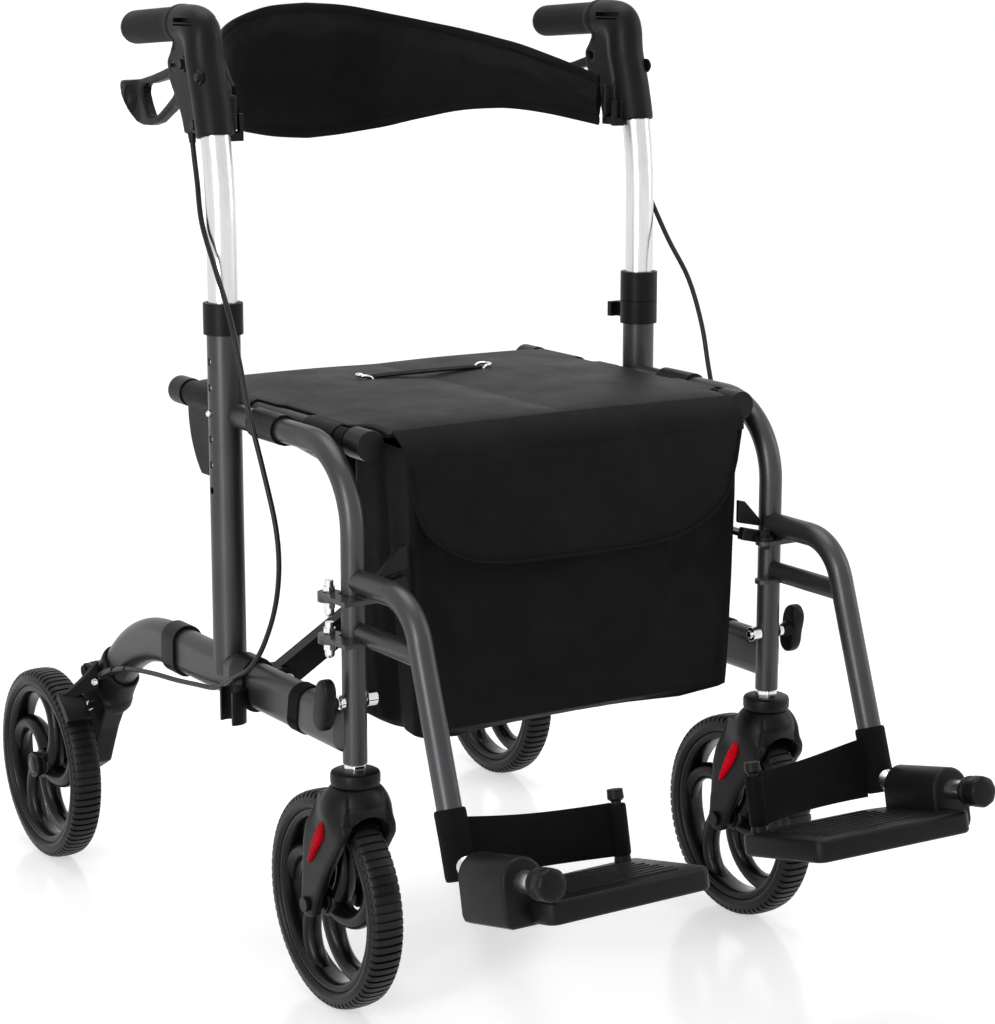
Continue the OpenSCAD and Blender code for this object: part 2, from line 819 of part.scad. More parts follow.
module lever_outline()
    difference() {
        polygon([
            lever_pivot + [2, 11], lever_pivot + [30, 5], lever_pivot + [lever_len - 24, -9],
            lever_pivot + [lever_len - 4, -8], lever_pivot + [lever_len, -18],
            lever_pivot + [lever_len - 12, -34], lever_pivot + [90, -58], lever_pivot + [74, -57],
            lever_pivot + [30, -46], lever_pivot + [4, -38], lever_pivot + [-8, -8],
            lever_pivot + [-11, 0], lever_pivot + [-8, 8]
        ]);
        translate(lever_pivot + [22, -20])
            polygon([[0, 10], [40, 7], [78, 0], [84, -9], [62, -27], [50, -27], [6, -16], [-2, -6]]);
        translate(lever_pivot)
            circle(r = lever_pin_r + running_gap);
    }

module brake_lever() color("black")
    along_x(track_half - lever_t / 2, track_half + lever_t / 2)
        lever_outline();

// Brake arm with the shoe over the tyre
module brake_arm() color("black")
    at_yz(0, [rear_axle_y, wheel_r])
        difference() {
            union() {
                translate([leg_x[1] + 3.5, 0, 0])
                    bend_yz(0, 112, 128)
                        translate([wheel_r + shoe_gap + 3, -2.4])
                            square([24, 4.8]);
                translate([leg_x[1] + 0.8, 0, 0])
                    bend_yz(0, shoe_from, shoe_to)
                        translate([wheel_r + shoe_gap, 0])
                            square([10, rear_track_half + tyre_w / 2 - leg_x[1]]);
            }
            rotate([brake_pivot_angle - 90, 0, 0])
                translate([0, 0, brake_pivot_r])
                    rod_x(leg_x[1], leg_x[1] + 20, brake_pin_r + running_gap);
        }

// Spring button in the handle tube, with its leaf spring
module height_button() color("silver")
    translate([track_half, upright_y, button_z]) {
        rod_x(handle_d / 2 - tube_wall - 3, upright_d / 2 + 1, hole_d / 2 - 0.4);
        translate([upright_d / 2 + 1, 0, 0])
            sphere(r = hole_d / 2 - 0.4);
        translate([handle_d / 2 - tube_wall - 4.2, -4, -24])
            cube([1.2, 8, 28]);
    }

// Wheels

module tyre_profile() {
    half = tyre_w / 2;
    inner = wheel_r - tyre_depth;
    polygon([
        [inner, -half + 3], [inner, half - 3], [inner + tyre_depth * 0.5, half],
        [wheel_r - 3, half - 2], [wheel_r, half - 7], [wheel_r, -half + 7],
        [wheel_r - 3, -half + 2], [inner + tyre_depth * 0.5, -half]
    ]);
}

module on_axle(x, y) translate([x, y, wheel_r]) rotate([0, 90, 0]) children();

module tyre(x, y) color("black")
    on_axle(x, y)
        rotate_extrude($fn = 96)
            tyre_profile();

band_t = 9;
spoke_w = 16;

// Curved spokes are arcs from the hub to the rim band
module spoke_outline() {
    arc_r = (rim_r - band_t / 2) * 0.58;
    intersection() {
        translate([arc_r * 0.94, 0])
            difference() {
                circle(r = arc_r + spoke_w / 2);
                circle(r = arc_r - spoke_w / 2);
            }
        translate([-rim_r, 0])
            square([2 * rim_r, rim_r]);
        circle(r = rim_r - band_t / 2);
    }
}

module rim(x, y) color([0.08, 0.08, 0.08])
    on_axle(x, y)
        difference() {
            union() {
                rotate_extrude($fn = 96)
                    translate([rim_r - band_t, -rim_w / 2])
                        square([band_t, rim_w]);
                translate([0, 0, -hub_w / 2])
                    cylinder(h = hub_w, r = hub_r);
                for (i = [0 : spoke_count - 1])
                    rotate([0, 0, i * 360 / spoke_count])
                        translate([0, 0, -rim_w / 2 + 3])
                            linear_extrude(rim_w - 6)
                                spoke_outline();
            }
            translate([0, 0, -hub_w])
                cylinder(h = 2 * hub_w, r = axle_r + running_gap);
        }

// Front caster

fork_top = 222;
cap_r = 23;
cap_h = 14;

module fork_outline() {
    translate([caster_trail, wheel_r])
        circle(r = 13.5);
    polygon([
        [-26, fork_top], [26, fork_top], [caster_trail - 4, fork_top - 18], [caster_trail + 8, wheel_r + 60],
        [caster_trail + 13.5, wheel_r], [caster_trail - 13, wheel_r], [6, wheel_r + 36],
        [-24, wheel_r + 76], [-33, fork_top - 17]
    ]);
}

module caster_fork() color("black")
    translate([post_half, 0, 0])
        difference() {
            union() {
                along_x(-fork_half, fork_half)
                    fork_outline();
                translate([0, 0, fork_top])
                    cylinder(h = cap_h, r = cap_r);
            }
            translate([0, caster_trail, wheel_r])
                rod_x(-tyre_w / 2 - fork_room, tyre_w / 2 + fork_room, wheel_r + 5);
            translate([0, caster_trail, wheel_r])
                rod_x(-2 * fork_half, 2 * fork_half, axle_r + fit_gap);
            translate([0, 0, fork_top - 8])
                cylinder(h = cap_h + 9, r = stem_r + fit_gap);
        }

stem_r = 6;
stem_len = 44;

// Swivel stem with its bearing in the post, and the axle bolt
module caster_stem() color("silver")
    translate([post_half, 0, 0]) {
        translate([0, 0, fork_top - 8])
            cylinder(h = post_bottom - fork_top + 10, r = stem_r);
        translate([0, 0, fork_top + cap_h + fit_gap])
            cylinder(h = post_bottom - fork_top - cap_h - stack_gap - fit_gap, r = 10.5, $fn = 6);
        translate([0, 0, post_bottom + 1])
            cylinder(h = stem_len, r = post_bore / 2 - running_gap);
        translate([0, caster_trail, wheel_r]) {
            rod_x(-fork_half - 4, fork_half + 4, axle_r);
            rod_x(fork_half + fit_gap, fork_half + 4, 7);
            rod_x(-fork_half - 4, -fork_half - fit_gap, 7);
            rod_x(hub_w / 2 + stack_gap, tyre_w / 2 + fork_room - fit_gap, axle_r + 3);
            rod_x(-tyre_w / 2 - fork_room + fit_gap, -hub_w / 2 - stack_gap, axle_r + 3);
        }
    }

// Footrest

module hang_path(d, from_y, length) {
    translate([foot_half, 0, hang_z])
        rod_y(-hang_run, from_y, d / 2);
    at_yz(foot_half, [-hang_run, hang_z - hang_bend])
        bend_yz(hang_bend, 90, 180 - hang_lean)
            circle(d = d);
    at_yz(foot_half, hang_end)
        rotate([180 - hang_lean, 0, 0])
            cylinder(h = length, d = d);
}

strut_d = 19;
strut_z = hinge_low_z + 8;
front_plate_y = -post_d / 2 - 0.6;
plate_depth = 18;

// Hinge plate: an eye on the bolt and an arm round the front of the post
module swing_plate(ear_top)
    translate([0, 0, ear_top + stack_gap])
        difference() {
            linear_extrude(hinge_t) {
                translate([post_half + hinge_dx, hinge_dy])
                    circle(r = hinge_eye);
                translate([post_half + post_d / 2 + 1, front_plate_y - plate_depth])
                    square([hinge_dx + hinge_eye - post_d / 2 - 1, hinge_dy - front_plate_y + plate_depth]);
                translate([latch_x, front_plate_y - plate_depth])
                    square([post_half + hinge_dx - latch_x, plate_depth]);
                translate([latch_x, front_plate_y - plate_depth / 2])
                    circle(d = plate_depth);
            }
            translate([post_half + hinge_dx, hinge_dy, -1])
                cylinder(h = hinge_t + 2, r = hinge_bolt_d / 2 + running_gap);
        }

module hang_rings(length) {
    translate([foot_half, 0, hang_z])
        along_y(-hang_run - seam, front_plate_y + 6)
            ring_outline(post_d, tube_wall);
    at_yz(foot_half, [-hang_run, hang_z - hang_bend])
        bend_yz(hang_bend, 90, 180 - hang_lean)
            ring_outline(post_d - seam_step, tube_wall - seam_step);
    at_yz(foot_half, hang_end - seam * hang_dir)
        rotate([180 - hang_lean, 0, 0])
            linear_extrude(length + seam)
                ring_outline(post_d, tube_wall);
}

module footrest_tube() color("dimgray")
    difference() {
        union() {
            hang_rings(foot_drop - foot_tangent - 6);
            difference() {
                translate([foot_half, 0, strut_z])
                    rod_y(-hang_run - hang_bend, front_plate_y - 2, strut_d / 2);
                hang_path(post_d - tube_wall / 2, front_plate_y, foot_drop / 2);
            }
            translate([foot_half - 6, front_plate_y - plate_depth, hinge_high_z + hinge_t / 2])
                cube([12, plate_depth, hang_z - post_d / 2 + tube_wall / 2 - hinge_high_z - hinge_t / 2]);
            swing_plate(hinge_low_z);
            swing_plate(hinge_high_z);
        }
        translate([post_half, 0, 0])
            cylinder(h = side_z, d = post_d + 4 * stack_gap);
        translate([latch_x, front_plate_y - plate_depth / 2, hinge_high_z])
            cylinder(h = 20, r = latch_pin_r + running_gap);
    }

latch_pin_r = 3.5;
latch_t = 4;

// Flat release lever on the inner end of the upper hinge plate
module release_lever() color("silver")
    translate([latch_x, front_plate_y - plate_depth / 2, hinge_high_z + hinge_t + 2 * stack_gap]) {
        linear_extrude(latch_t) {
            circle(d = plate_depth - 2);
            translate([-10.5, 0])
                square([12, 52]);
            translate([-16.5, 44])
                square([18, 14]);
        }
        cylinder(h = latch_t + 5, r = latch_pin_r + 2, $fn = 6);
        translate([0, 0, -hinge_t - stack_gap])
            cylinder(h = hinge_t + stack_gap + 1, r = latch_pin_r);
        translate([0, 0, -hinge_t - 2 * stack_gap - 4])
            cylinder(h = 4, r = latch_pin_r + 2, $fn = 6);
        translate([0, 0, -hinge_t - 2 * stack_gap - 1])
            cylinder(h = 2, r = latch_pin_r);
    }

module foot_tube_rings(in_len, out_len) {
    start = foot_axis - foot_tangent * hang_dir;
    at_yz(foot_half, start - in_len * hang_dir)
        rotate([180 - hang_lean, 0, 0])
            linear_extrude(in_len + seam)
                ring_outline(foot_tube_d, foot_wall);
    at_yz(foot_half, start + foot_bend * [-cos(hang_lean), sin(hang_lean)])
        bend_yz(foot_bend, -90 - foot_tilt, -hang_lean)
            ring_outline(foot_tube_d - seam_step, foot_wall - seam_step);
    foot_frame()
        along_y(-out_len, -foot_tangent + seam)
            ring_outline(foot_tube_d, foot_wall);
}

module foot_frame()
    at_yz(foot_half, foot_axis)
        rotate([-foot_tilt, 0, 0])
            children();

foot_cap_len = 24;
foot_tube_in = 70;

foot_wall = 1.5;

module foot_tube() color("silver") {
    foot_tube_rings(foot_tube_in, foot_pin_len - 8);
    foot_frame()
        difference() {
            rod_y(-foot_pin_len, -foot_pin_len + foot_cap_len, foot_cap_r);
            rod_y(-foot_pin_len + 8 - fit_gap, 0, foot_tube_d / 2 + fit_gap);
        }
}

hub_half = 21;
hub_from = 30;
hub_to = foot_pin_len - 45;
heel_r = 4.5;
heel_at = [-plate_w + 18, -14];
plate_from = 6;

module foot_plate() color("black")
    foot_frame()
        difference() {
            union() {
                translate([0, 0, -plate_drop - plate_t])
                    linear_extrude(plate_t)
                        polygon([
                            [-plate_w, -plate_from], [-plate_w, -plate_from - plate_l + 8],
                            [-plate_w + 8, -plate_from - plate_l], [-14, -plate_from - plate_l - 7],
                            [-4, -plate_from - plate_l + 4], [-4, -hub_from], [-hub_half - 12, -plate_from - 8]
                        ]);
                translate([-hub_half, -hub_to, -plate_drop - plate_t - 4])
                    cube([2 * hub_half, hub_to - hub_from, plate_drop + plate_t + 4 + foot_tube_d]);
                translate([heel_at[0], heel_at[1], -plate_drop]) {
                    cylinder(h = heel_h, r = heel_r);
                    cylinder(h = 5, r = heel_r + 2.5);
                    translate([0, 0, heel_h - 7])
                        cylinder(h = 7, r = heel_r + 2.5);
                }
            }
            rod_y(-foot_pin_len, 0, foot_tube_d / 2 + running_gap);
            for (i = [0 : rib_count - 1])
                translate([-plate_w + 22, -plate_from - 22 - i * (plate_l - 34) / rib_count, -plate_drop - 1.4])
                    cube([plate_w - hub_half - 36, 2.4, 2]);
        }

strap_t = 2.5;
strap_low = -plate_drop + 5 + stack_gap;
strap_h = heel_h - 12 - 2 * stack_gap;
strap_bulge = 46;

// Band from a sleeve on the footrest tube to a loop round the heel post
module heel_strap() color("black") {
    at_yz(foot_half, hang_end + sleeve_top * hang_dir)
        rotate([180 - hang_lean, 0, 0])
            difference() {
                cylinder(h = sleeve_len, d = post_d + 2 * slide_gap + 2 * strap_t);
                translate([0, 0, -1])
                    cylinder(h = sleeve_len + 2, d = post_d + 2 * slide_gap);
            }
    loop_r = heel_r + slide_gap + strap_t;
    steps = 12;
    from = [-post_d / 2 - slide_gap - strap_t / 2, 4];
    to = [heel_at[0] + loop_r - strap_t / 2, heel_at[1]];
    arc = [for (i = [0 : steps])
        let (t = i / steps)
        from + (to - from) * t + [0, strap_bulge * t * (1 - t) * (1 - 0.4 * t)]];
    foot_frame() {
        translate([0, 0, strap_low])
            linear_extrude(strap_h)
                polygon(concat(
                    [for (p = arc) p + [0, strap_t / 2]],
                    [for (i = [steps : -1 : 0]) arc[i] - [0, strap_t / 2]]
                ));
        translate([heel_at[0], heel_at[1], strap_low + 0.5])
            linear_extrude(strap_h - 1)
                ring_outline(2 * loop_r, strap_t);
    }
}

knob_at = 19;

// Wing knob with its bolt through the post and the nut inside
module wing_knob() color("black")
    translate([post_half, 0, knob_z]) {
        rod_x(-post_d / 2 - 12, post_d / 2 + knob_at, knob_bolt_r);
        rod_x(-post_d / 2 - 10, -post_d / 2 - stack_gap, knob_bolt_r + 3.5);
        rod_x(post_d / 2 + stack_gap, post_d / 2 + 5, knob_bolt_r + 3);
        rod_x(post_d / 2 + knob_at - 9, post_d / 2 + knob_at + 4, 9);
        along_x(post_d / 2 + knob_at - 5, post_d / 2 + knob_at + 6)
            polygon([[-9, -6], [-22, -15], [-15, -22], [0, -12], [15, -22], [22, -15],
                     [9, -6], [9, 6], [20, 15], [13, 20], [0, 10], [-13, 20], [-20, 15], [-9, 6]]);
    }

// Folding brace and seat rails

cap_len = 20;
rail_cap_r = 14;

module seat_rail() {
    translate([rail_half, 0, rail_z]) {
        rod_y(rail_front, rail_rear, rail_r);
        rod_y(rail_front - 8, rail_front + cap_len, rail_cap_r);
        rod_y(rail_rear - cap_len, rail_rear + 6, rail_cap_r);
    }
}

// A bar from the right lower pivot to the left rail
module brace_bar(bar_y)
    difference() {
        union() {
            seat_rail();
            difference() {
                translate([-brace_half, 0, lower_z])
                    rotate([0, -brace_angle, 0]) {
                        translate([0, bar_y, -bar_h / 2])
                            cube([brace_len, bar_t, bar_h]);
                        rod_y(bar_y, bar_y + bar_t, bar_h / 2);
                    }
                translate([rail_half - 4 * bar_h, bar_y - 1, rail_z + 2])
                    cube([8 * bar_h, bar_t + 2, 4 * bar_h]);
            }
        }
        translate([-brace_half, 0, lower_z])
            rotate([0, -brace_angle, 0]) {
                rod_y(bar_y - 1, bar_y + bar_t + 1, brace_pin_d / 2 + running_gap);
                translate([brace_cross, 0, 0])
                    rod_y(bar_y - 1, bar_y + bar_t + 1, brace_pin_d / 2 + running_gap);
            }
    }

module brace_bar_a() color([0.1, 0.1, 0.1]) framed() brace_bar(bar_a_y);

module brace_bar_b() color([0.1, 0.1, 0.1]) framed() mirror([1, 0, 0]) brace_bar(bar_b_y);

module brace_pivot() color("silver")
    framed()
        translate([0, 0, lower_z + brace_cross * sin(brace_angle)]) {
            rod_y(bar_a_y - 4, bar_b_y + bar_t + 4, brace_pin_d / 2);
            rod_y(bar_a_y - 6, bar_a_y - stack_gap, brace_pin_d / 2 + 4);
            rod_y(bar_b_y + bar_t + stack_gap, bar_b_y + bar_t + 6, brace_pin_d / 2 + 4);
        }

// Seat halves: a crowned slab from the rail to the crease, hung on wraps round the rail

seat_steps = 12;
seat_edge = rail_half - rail_cap_r - 1;
wrap_spans = [[64, saddle_from - 5], [bar_b_y + bar_t + 14, rear_saddle_from - 5], [rear_saddle_to + 5, 366]];

function seat_ring(y) =
    let (
        v = 2 * (y - seat_front) / (seat_rear - seat_front) - 1,
        shrink = 1 - pow(abs(v), 8),
        base = rail_z + wrap_r - seat_t,
        draw_in = 4 * (1 - pow(v, 2)) * 0.5
    )
    concat(
        [for (i = [0 : seat_steps])
            let (u = i / seat_steps, x = seat_edge - u * (seat_edge - seat_crease))
            [x - draw_in * pow(2 * u - 1, 8) * sign(0.5 - u), y,
             base + seat_t * (0.55 + 0.45 * shrink)
             + seat_crown * (1 - pow(2 * u - 1, 4)) * shrink + 0.8 * (1 - pow(2 * u - 1, 2))
             - 2.4 * pow(2 * u - 1, 10)]],
        [for (i = [seat_steps : -1 : 0])
            let (u = i / seat_steps, x = seat_edge - u * (seat_edge - seat_crease))
            [x - draw_in * pow(2 * u - 1, 8) * sign(0.5 - u), y, base + 0.6 * (1 - pow(2 * u - 1, 2))]]
    );

module seat_half() color([0.16, 0.16, 0.17]) {
    loft([for (j = [16 : -1 : 0]) seat_ring(seat_front + (seat_rear - seat_front) * j / 16)]);
    translate([rail_half, 0, rail_z])
        for (span = wrap_spans)
            difference() {
                union() {
                    rod_y(span[0], span[1], wrap_r);
                    translate([seat_edge - rail_half - 4, span[0], wrap_r - seat_t + 1])
                        cube([rail_half - seat_edge + 4, span[1] - span[0], seat_t - 4]);
                }
                rod_y(span[0] - 1, span[1] + 1, sleeve_r);
            }
}

// Bag under the seat, hung on loops round both rails

flap_low = 402;
loop_span = [rail_front + cap_len + 3, 60];

bag_wall = 3;
bag_round = 12;

// The bag's body, shrunk by a wall and drawn past its open top where the wall is taken off
module bag_form(wall)
    hull()
        for (x = [-1, 1], y = [bag_front + bag_round, bag_front + bag_depth - bag_round], top = [0, 1])
            translate([x * (bag_half - bag_round), y, top ? bag_top - 4 : bag_bottom + bag_round])
                if (top) cylinder(h = 4 + wall, r = bag_round - wall, $fn = 24);
                else sphere(r = bag_round - wall, $fn = 24);

module bag() color([0.07, 0.07, 0.07])
    framed() {
        difference() {
            bag_form(0);
            bag_form(bag_wall);
        }
        hull()
            for (x = [-1, 1], z = [flap_low + 28, bag_top - 28])
                translate([x * (bag_half - 40), 0, z])
                    rod_y(bag_front - 4, bag_front, 28, $fn = 32);
        for (side = [0, 1])
            mirror([side, 0, 0])
                translate([rail_half, 0, rail_z])
                    difference() {
                        union() {
                            rod_y(loop_span[0], loop_span[1], wrap_r - 0.4);
                            translate([bag_half - rail_half - 6, loop_span[0], bag_top - rail_z - 9])
                                cube([rail_half - bag_half, loop_span[1] - loop_span[0], 8]);
                        }
                        rod_y(loop_span[0] - 1, loop_span[1] + 1, sleeve_r);
                    }
    }

// Backrest: a padded band that bows back between the handles

back_end_y = bend_end[0] + 3.4;
back_end_top = 829;
back_end_low = 786;
back_steps = 28;

function back_mid(u) = [back_half * u, back_end_y + back_bow * (1 - pow(abs(u), 2.8))];
function back_top_z(u) = back_end_top + (back_top - back_end_top) * pow(0.5 + 0.5 * cos(180 * u), 0.45);
function back_low_z(u) = back_end_low + (back_low - back_end_low) * pow(0.5 + 0.5 * cos(180 * u), 2.2);

function back_ring(u) =
    let (
        a = back_mid(u - 0.01),
        b = back_mid(u + 0.01),
        along = (b - a) / norm(b - a),
        out = [-along[1], along[0]],
        mid = back_mid(u),
        low = back_low_z(u),
        high = back_top_z(u)
    )
    [for (k = [0 : 9])
        let (
            turn = 36 * k,
            swell = back_t / 2 * sin(turn) * (0.6 + 0.4 * abs(sin(turn))),
            lift = (low + high) / 2 - (high - low) / 2 * cos(turn),
            p = mid + out * swell
        )
        [p[0], p[1], lift]];

module backrest() color([0.07, 0.07, 0.07])
    framed()
        loft([for (i = [0 : back_steps]) back_ring(2 * i / back_steps - 1)]);

on_right() lower_tube();  // lower_tube_right
on_left() lower_tube();  // lower_tube_left
on_right() upright();  // upright_right
on_left() upright();  // upright_left
on_right() front_tube();  // front_tube_right
on_left() front_tube();  // front_tube_left
on_right() collar();  // collar_right
on_left() collar();  // collar_left
on_left() fold_clip();
on_right() seat_saddles();  // seat_saddles_right
on_left() seat_saddles();  // seat_saddles_left
on_right() tube_clamps(bar_a_y);  // tube_clamps_right
on_left() tube_clamps(bar_b_y);  // tube_clamps_left
on_right() rear_bracket();  // rear_bracket_right
on_left() rear_bracket();  // rear_bracket_left
on_right() frame_bolts(bar_a_y);  // frame_bolts_right
on_left() frame_bolts(bar_b_y);  // frame_bolts_left
on_right() brake_cable();  // brake_cable_right
on_left() brake_cable();  // brake_cable_left
on_right() handle_tube();  // handle_tube_right
on_left() handle_tube();  // handle_tube_left
on_right() handle_grip();  // handle_grip_right
on_left() handle_grip();  // handle_grip_left
on_right() brake_lever();  // brake_lever_right
on_left() brake_lever();  // brake_lever_left
on_right() brake_arm();  // brake_arm_right
on_left() brake_arm();  // brake_arm_left
on_right() caster_fork();  // caster_fork_right
on_left() caster_fork();  // caster_fork_left
on_right() caster_stem();  // caster_stem_right
on_left() caster_stem();  // caster_stem_left
on_right() tyre(post_half, caster_trail);  // front_tyre_right
on_left() tyre(post_half, caster_trail);  // front_tyre_left
on_right() rim(post_half, caster_trail);  // front_rim_right
on_left() rim(post_half, caster_trail);  // front_rim_left
on_right() tyre(rear_track_half, rear_axle_y);  // rear_tyre_right
on_left() tyre(rear_track_half, rear_axle_y);  // rear_tyre_left
on_right() rim(rear_track_half, rear_axle_y);  // rear_rim_right
on_left() rim(rear_track_half, rear_axle_y);  // rear_rim_left
on_right() footrest_tube();  // footrest_tube_right
on_left() footrest_tube();  // footrest_tube_left
on_right() foot_tube();  // foot_tube_right
on_left() foot_tube();  // foot_tube_left
on_right() foot_plate();  // foot_plate_right
on_left() foot_plate();  // foot_plate_left
on_right() heel_strap();  // heel_strap_right
on_left() heel_strap();  // heel_strap_left
on_right() release_lever();  // release_lever_right
on_left() release_lever();  // release_lever_left
on_right() wing_knob();  // wing_knob_right
on_left() wing_knob();  // wing_knob_left
on_right() height_button();  // height_button_right
on_left() height_button();  // height_button_left
brace_bar_a();
brace_bar_b();
brace_pivot();
on_right() seat_half();  // seat_half_right
on_left() seat_half();  // seat_half_left
bag();
backrest();
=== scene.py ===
"""Looks of a rollator transport chair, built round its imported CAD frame."""

import json
import math

import bmesh
import bpy
from mathutils import Matrix, Vector, noise


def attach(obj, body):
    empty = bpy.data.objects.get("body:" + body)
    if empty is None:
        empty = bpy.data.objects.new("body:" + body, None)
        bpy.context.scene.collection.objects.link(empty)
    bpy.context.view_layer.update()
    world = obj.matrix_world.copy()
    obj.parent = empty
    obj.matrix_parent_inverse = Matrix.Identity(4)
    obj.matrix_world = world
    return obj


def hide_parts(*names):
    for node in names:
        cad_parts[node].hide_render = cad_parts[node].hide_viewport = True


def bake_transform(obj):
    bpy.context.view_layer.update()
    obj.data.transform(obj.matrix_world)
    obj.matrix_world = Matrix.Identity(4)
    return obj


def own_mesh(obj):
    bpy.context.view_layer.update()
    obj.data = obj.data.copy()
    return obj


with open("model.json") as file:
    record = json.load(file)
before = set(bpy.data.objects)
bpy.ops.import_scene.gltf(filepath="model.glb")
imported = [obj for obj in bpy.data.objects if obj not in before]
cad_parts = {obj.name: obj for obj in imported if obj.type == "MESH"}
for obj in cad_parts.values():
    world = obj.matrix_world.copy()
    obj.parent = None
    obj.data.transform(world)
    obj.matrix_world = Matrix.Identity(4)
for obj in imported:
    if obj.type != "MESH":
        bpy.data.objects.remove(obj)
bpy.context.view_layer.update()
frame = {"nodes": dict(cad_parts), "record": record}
scene = bpy.context.scene

MM = 0.001
Y_MID = 178.3528  # the part's origin lies this far behind the front posts
SIDES = (("left", 1), ("right", -1))
ACROSS = Vector((1, 0, 0))

# Main places in millimetres: x from the middle, y from the front posts, z from the floor
TRACK = 238.0  # x of the uprights and lower tubes
POST = 232.0  # x of the front posts
FOOT = 230.0  # x of the footrest tubes
RAIL = 205.0  # x of the seat rails
RAIL_Z = 523.0
LOWER_Z = 273.0  # the lower tubes' straight run
WHEEL_R = 101.6
FRONT_AXLE = (POST, 39.5)  # x and y
REAR_AXLE = (282.0, 576.0)
FOOT_AXIS = (-176.301, 188.597)  # y and z of the foot plates' hinge
FOOT_TILT = 12.5

BODY_OF = {n: b for b, ns in frame["record"]["behaviour"]["bodies"].items() for n in ns}


def at(x, y, z):
    """A point given in millimetres from the front posts, in the part's frame."""
    return Vector((x, y - Y_MID, z)) * MM


def foot_place():
    """The foot plate's own axes: its hinge tube runs along -Y."""
    return Matrix.Translation(at(FOOT, *FOOT_AXIS)) @ Matrix.Rotation(-math.radians(FOOT_TILT), 4, "X")


def smooth_step(a, b, x):
    """Rises from 0 at a to 1 at b, level at both ends."""
    t = min(1.0, max(0.0, (x - a) / (b - a)))
    return t * t * (3 - 2 * t)


# Camera and studio, in metres

CAMERA_LENS, CAMERA_SENSOR = 94.957, 36
CAMERA_PLACE = (-1.3678, -2.2038, 0.9480)
CAMERA_AIM = Vector((0.00041, -0.0496, 0.42131))
WHITE = (1, 1, 1, 1)
ROOM_LIGHT, ROOM_SHOWN = 0.30, 1.0  # the white room as it lights the chair, and as it is seen
LAMPS = (  # name, place, aim, size and power
    ("left_softbox", (-2.5, -1.5, 1.15), (0, 0, 0.5), (0.7, 2.0), 46),
    ("top_softbox", (0.1, 0.3, 2.7), (0, 0, 0.4), (1.8, 1.8), 28),
    ("right_softbox", (2.6, -1.2, 1.5), (0, 0, 0.45), (0.6, 1.8), 16))
FLOOR_R = 30
FLOOR_GREY = (0.82, 0.82, 0.82, 1)
FLOOR_LIFT = 0.52  # glow that brings the floor up to the photo's white


def set_camera():
    lens = bpy.data.cameras.new("photo_camera")
    lens.lens = CAMERA_LENS
    lens.sensor_width = CAMERA_SENSOR
    camera = bpy.data.objects.new("photo_camera", lens)
    camera.location = CAMERA_PLACE
    aim = CAMERA_AIM - camera.location
    camera.rotation_euler = aim.to_track_quat("-Z", "Y").to_euler()
    scene.collection.objects.link(camera)
    scene.camera = camera


def soft_box(name, place, aim, size, power):
    lamp = bpy.data.lights.new(name, "AREA")
    lamp.shape = "RECTANGLE"
    lamp.size, lamp.size_y = size
    lamp.energy = power
    box = bpy.data.objects.new(name, lamp)
    box.location = place
    box.rotation_euler = (Vector(aim) - Vector(place)).to_track_quat("-Z", "Y").to_euler()
    scene.collection.objects.link(box)


def node(tree, kind, inputs=(), **settings):
    """A new node with its settings, and each input set to a value or linked to a socket."""
    made = tree.nodes.new(kind)
    for key, value in settings.items():
        setattr(made, key, value)
    for key, value in dict(inputs).items():
        if isinstance(value, bpy.types.NodeSocket):
            tree.links.new(value, made.inputs[key])
        else:
            made.inputs[key].default_value = value
    return made


def sums(tree, operation, a, b=0.0):
    return node(tree, "ShaderNodeMath", {0: a, 1: b}, operation=operation).outputs[0]


def seen_directly(tree):
    """1 for rays from the camera, mirrors and glass, 0 for light on the chair."""
    path = node(tree, "ShaderNodeLightPath").outputs
    shiny = sums(tree, "MAXIMUM", path["Is Glossy Ray"], path["Is Transmission Ray"])
    return sums(tree, "MAXIMUM", path["Is Camera Ray"], shiny)


def set_studio():
    world = bpy.data.worlds.new("white_studio")
    scene.world = world
    world.use_nodes = True
    tree = world.node_tree
    tree.nodes.clear()
    light, shown = (node(tree, "ShaderNodeBackground", {"Color": WHITE, "Strength": strength}).outputs[0]
                    for strength in (ROOM_LIGHT, ROOM_SHOWN))
    mixed = node(tree, "ShaderNodeMixShader", {0: seen_directly(tree), 1: light, 2: shown})
    node(tree, "ShaderNodeOutputWorld", {"Surface": mixed.outputs[0]})
    for lamp in LAMPS:
        soft_box(*lamp)
    scene.view_settings.view_transform = "Standard"


def set_floor():
    bm = bmesh.new()
    bmesh.ops.create_circle(bm, cap_ends=True, radius=FLOOR_R, segments=64)
    paint = bpy.data.materials.new("white_floor")
    paint.use_nodes = True
    tree = paint.node_tree
    tree.nodes.clear()
    gloss = node(tree, "ShaderNodeBsdfPrincipled",
                 {"Base Color": FLOOR_GREY, "Roughness": 0.16, "IOR": 1.33})
    glow = sums(tree, "MULTIPLY", seen_directly(tree), FLOOR_LIFT)
    lift = node(tree, "ShaderNodeEmission", {"Color": WHITE, "Strength": glow})
    both = node(tree, "ShaderNodeAddShader", {0: gloss.outputs[0], 1: lift.outputs[0]})
    node(tree, "ShaderNodeOutputMaterial", {"Surface": both.outputs[0]})
    mesh = bpy.data.meshes.new("floor")
    bm.to_mesh(mesh)
    bm.free()
    mesh.materials.append(paint)
    floor = bpy.data.objects.new("floor", mesh)
    scene.collection.objects.link(floor)


# Shared surface effects

GRAIN = ("Height", "Shade")  # what each texture group gives


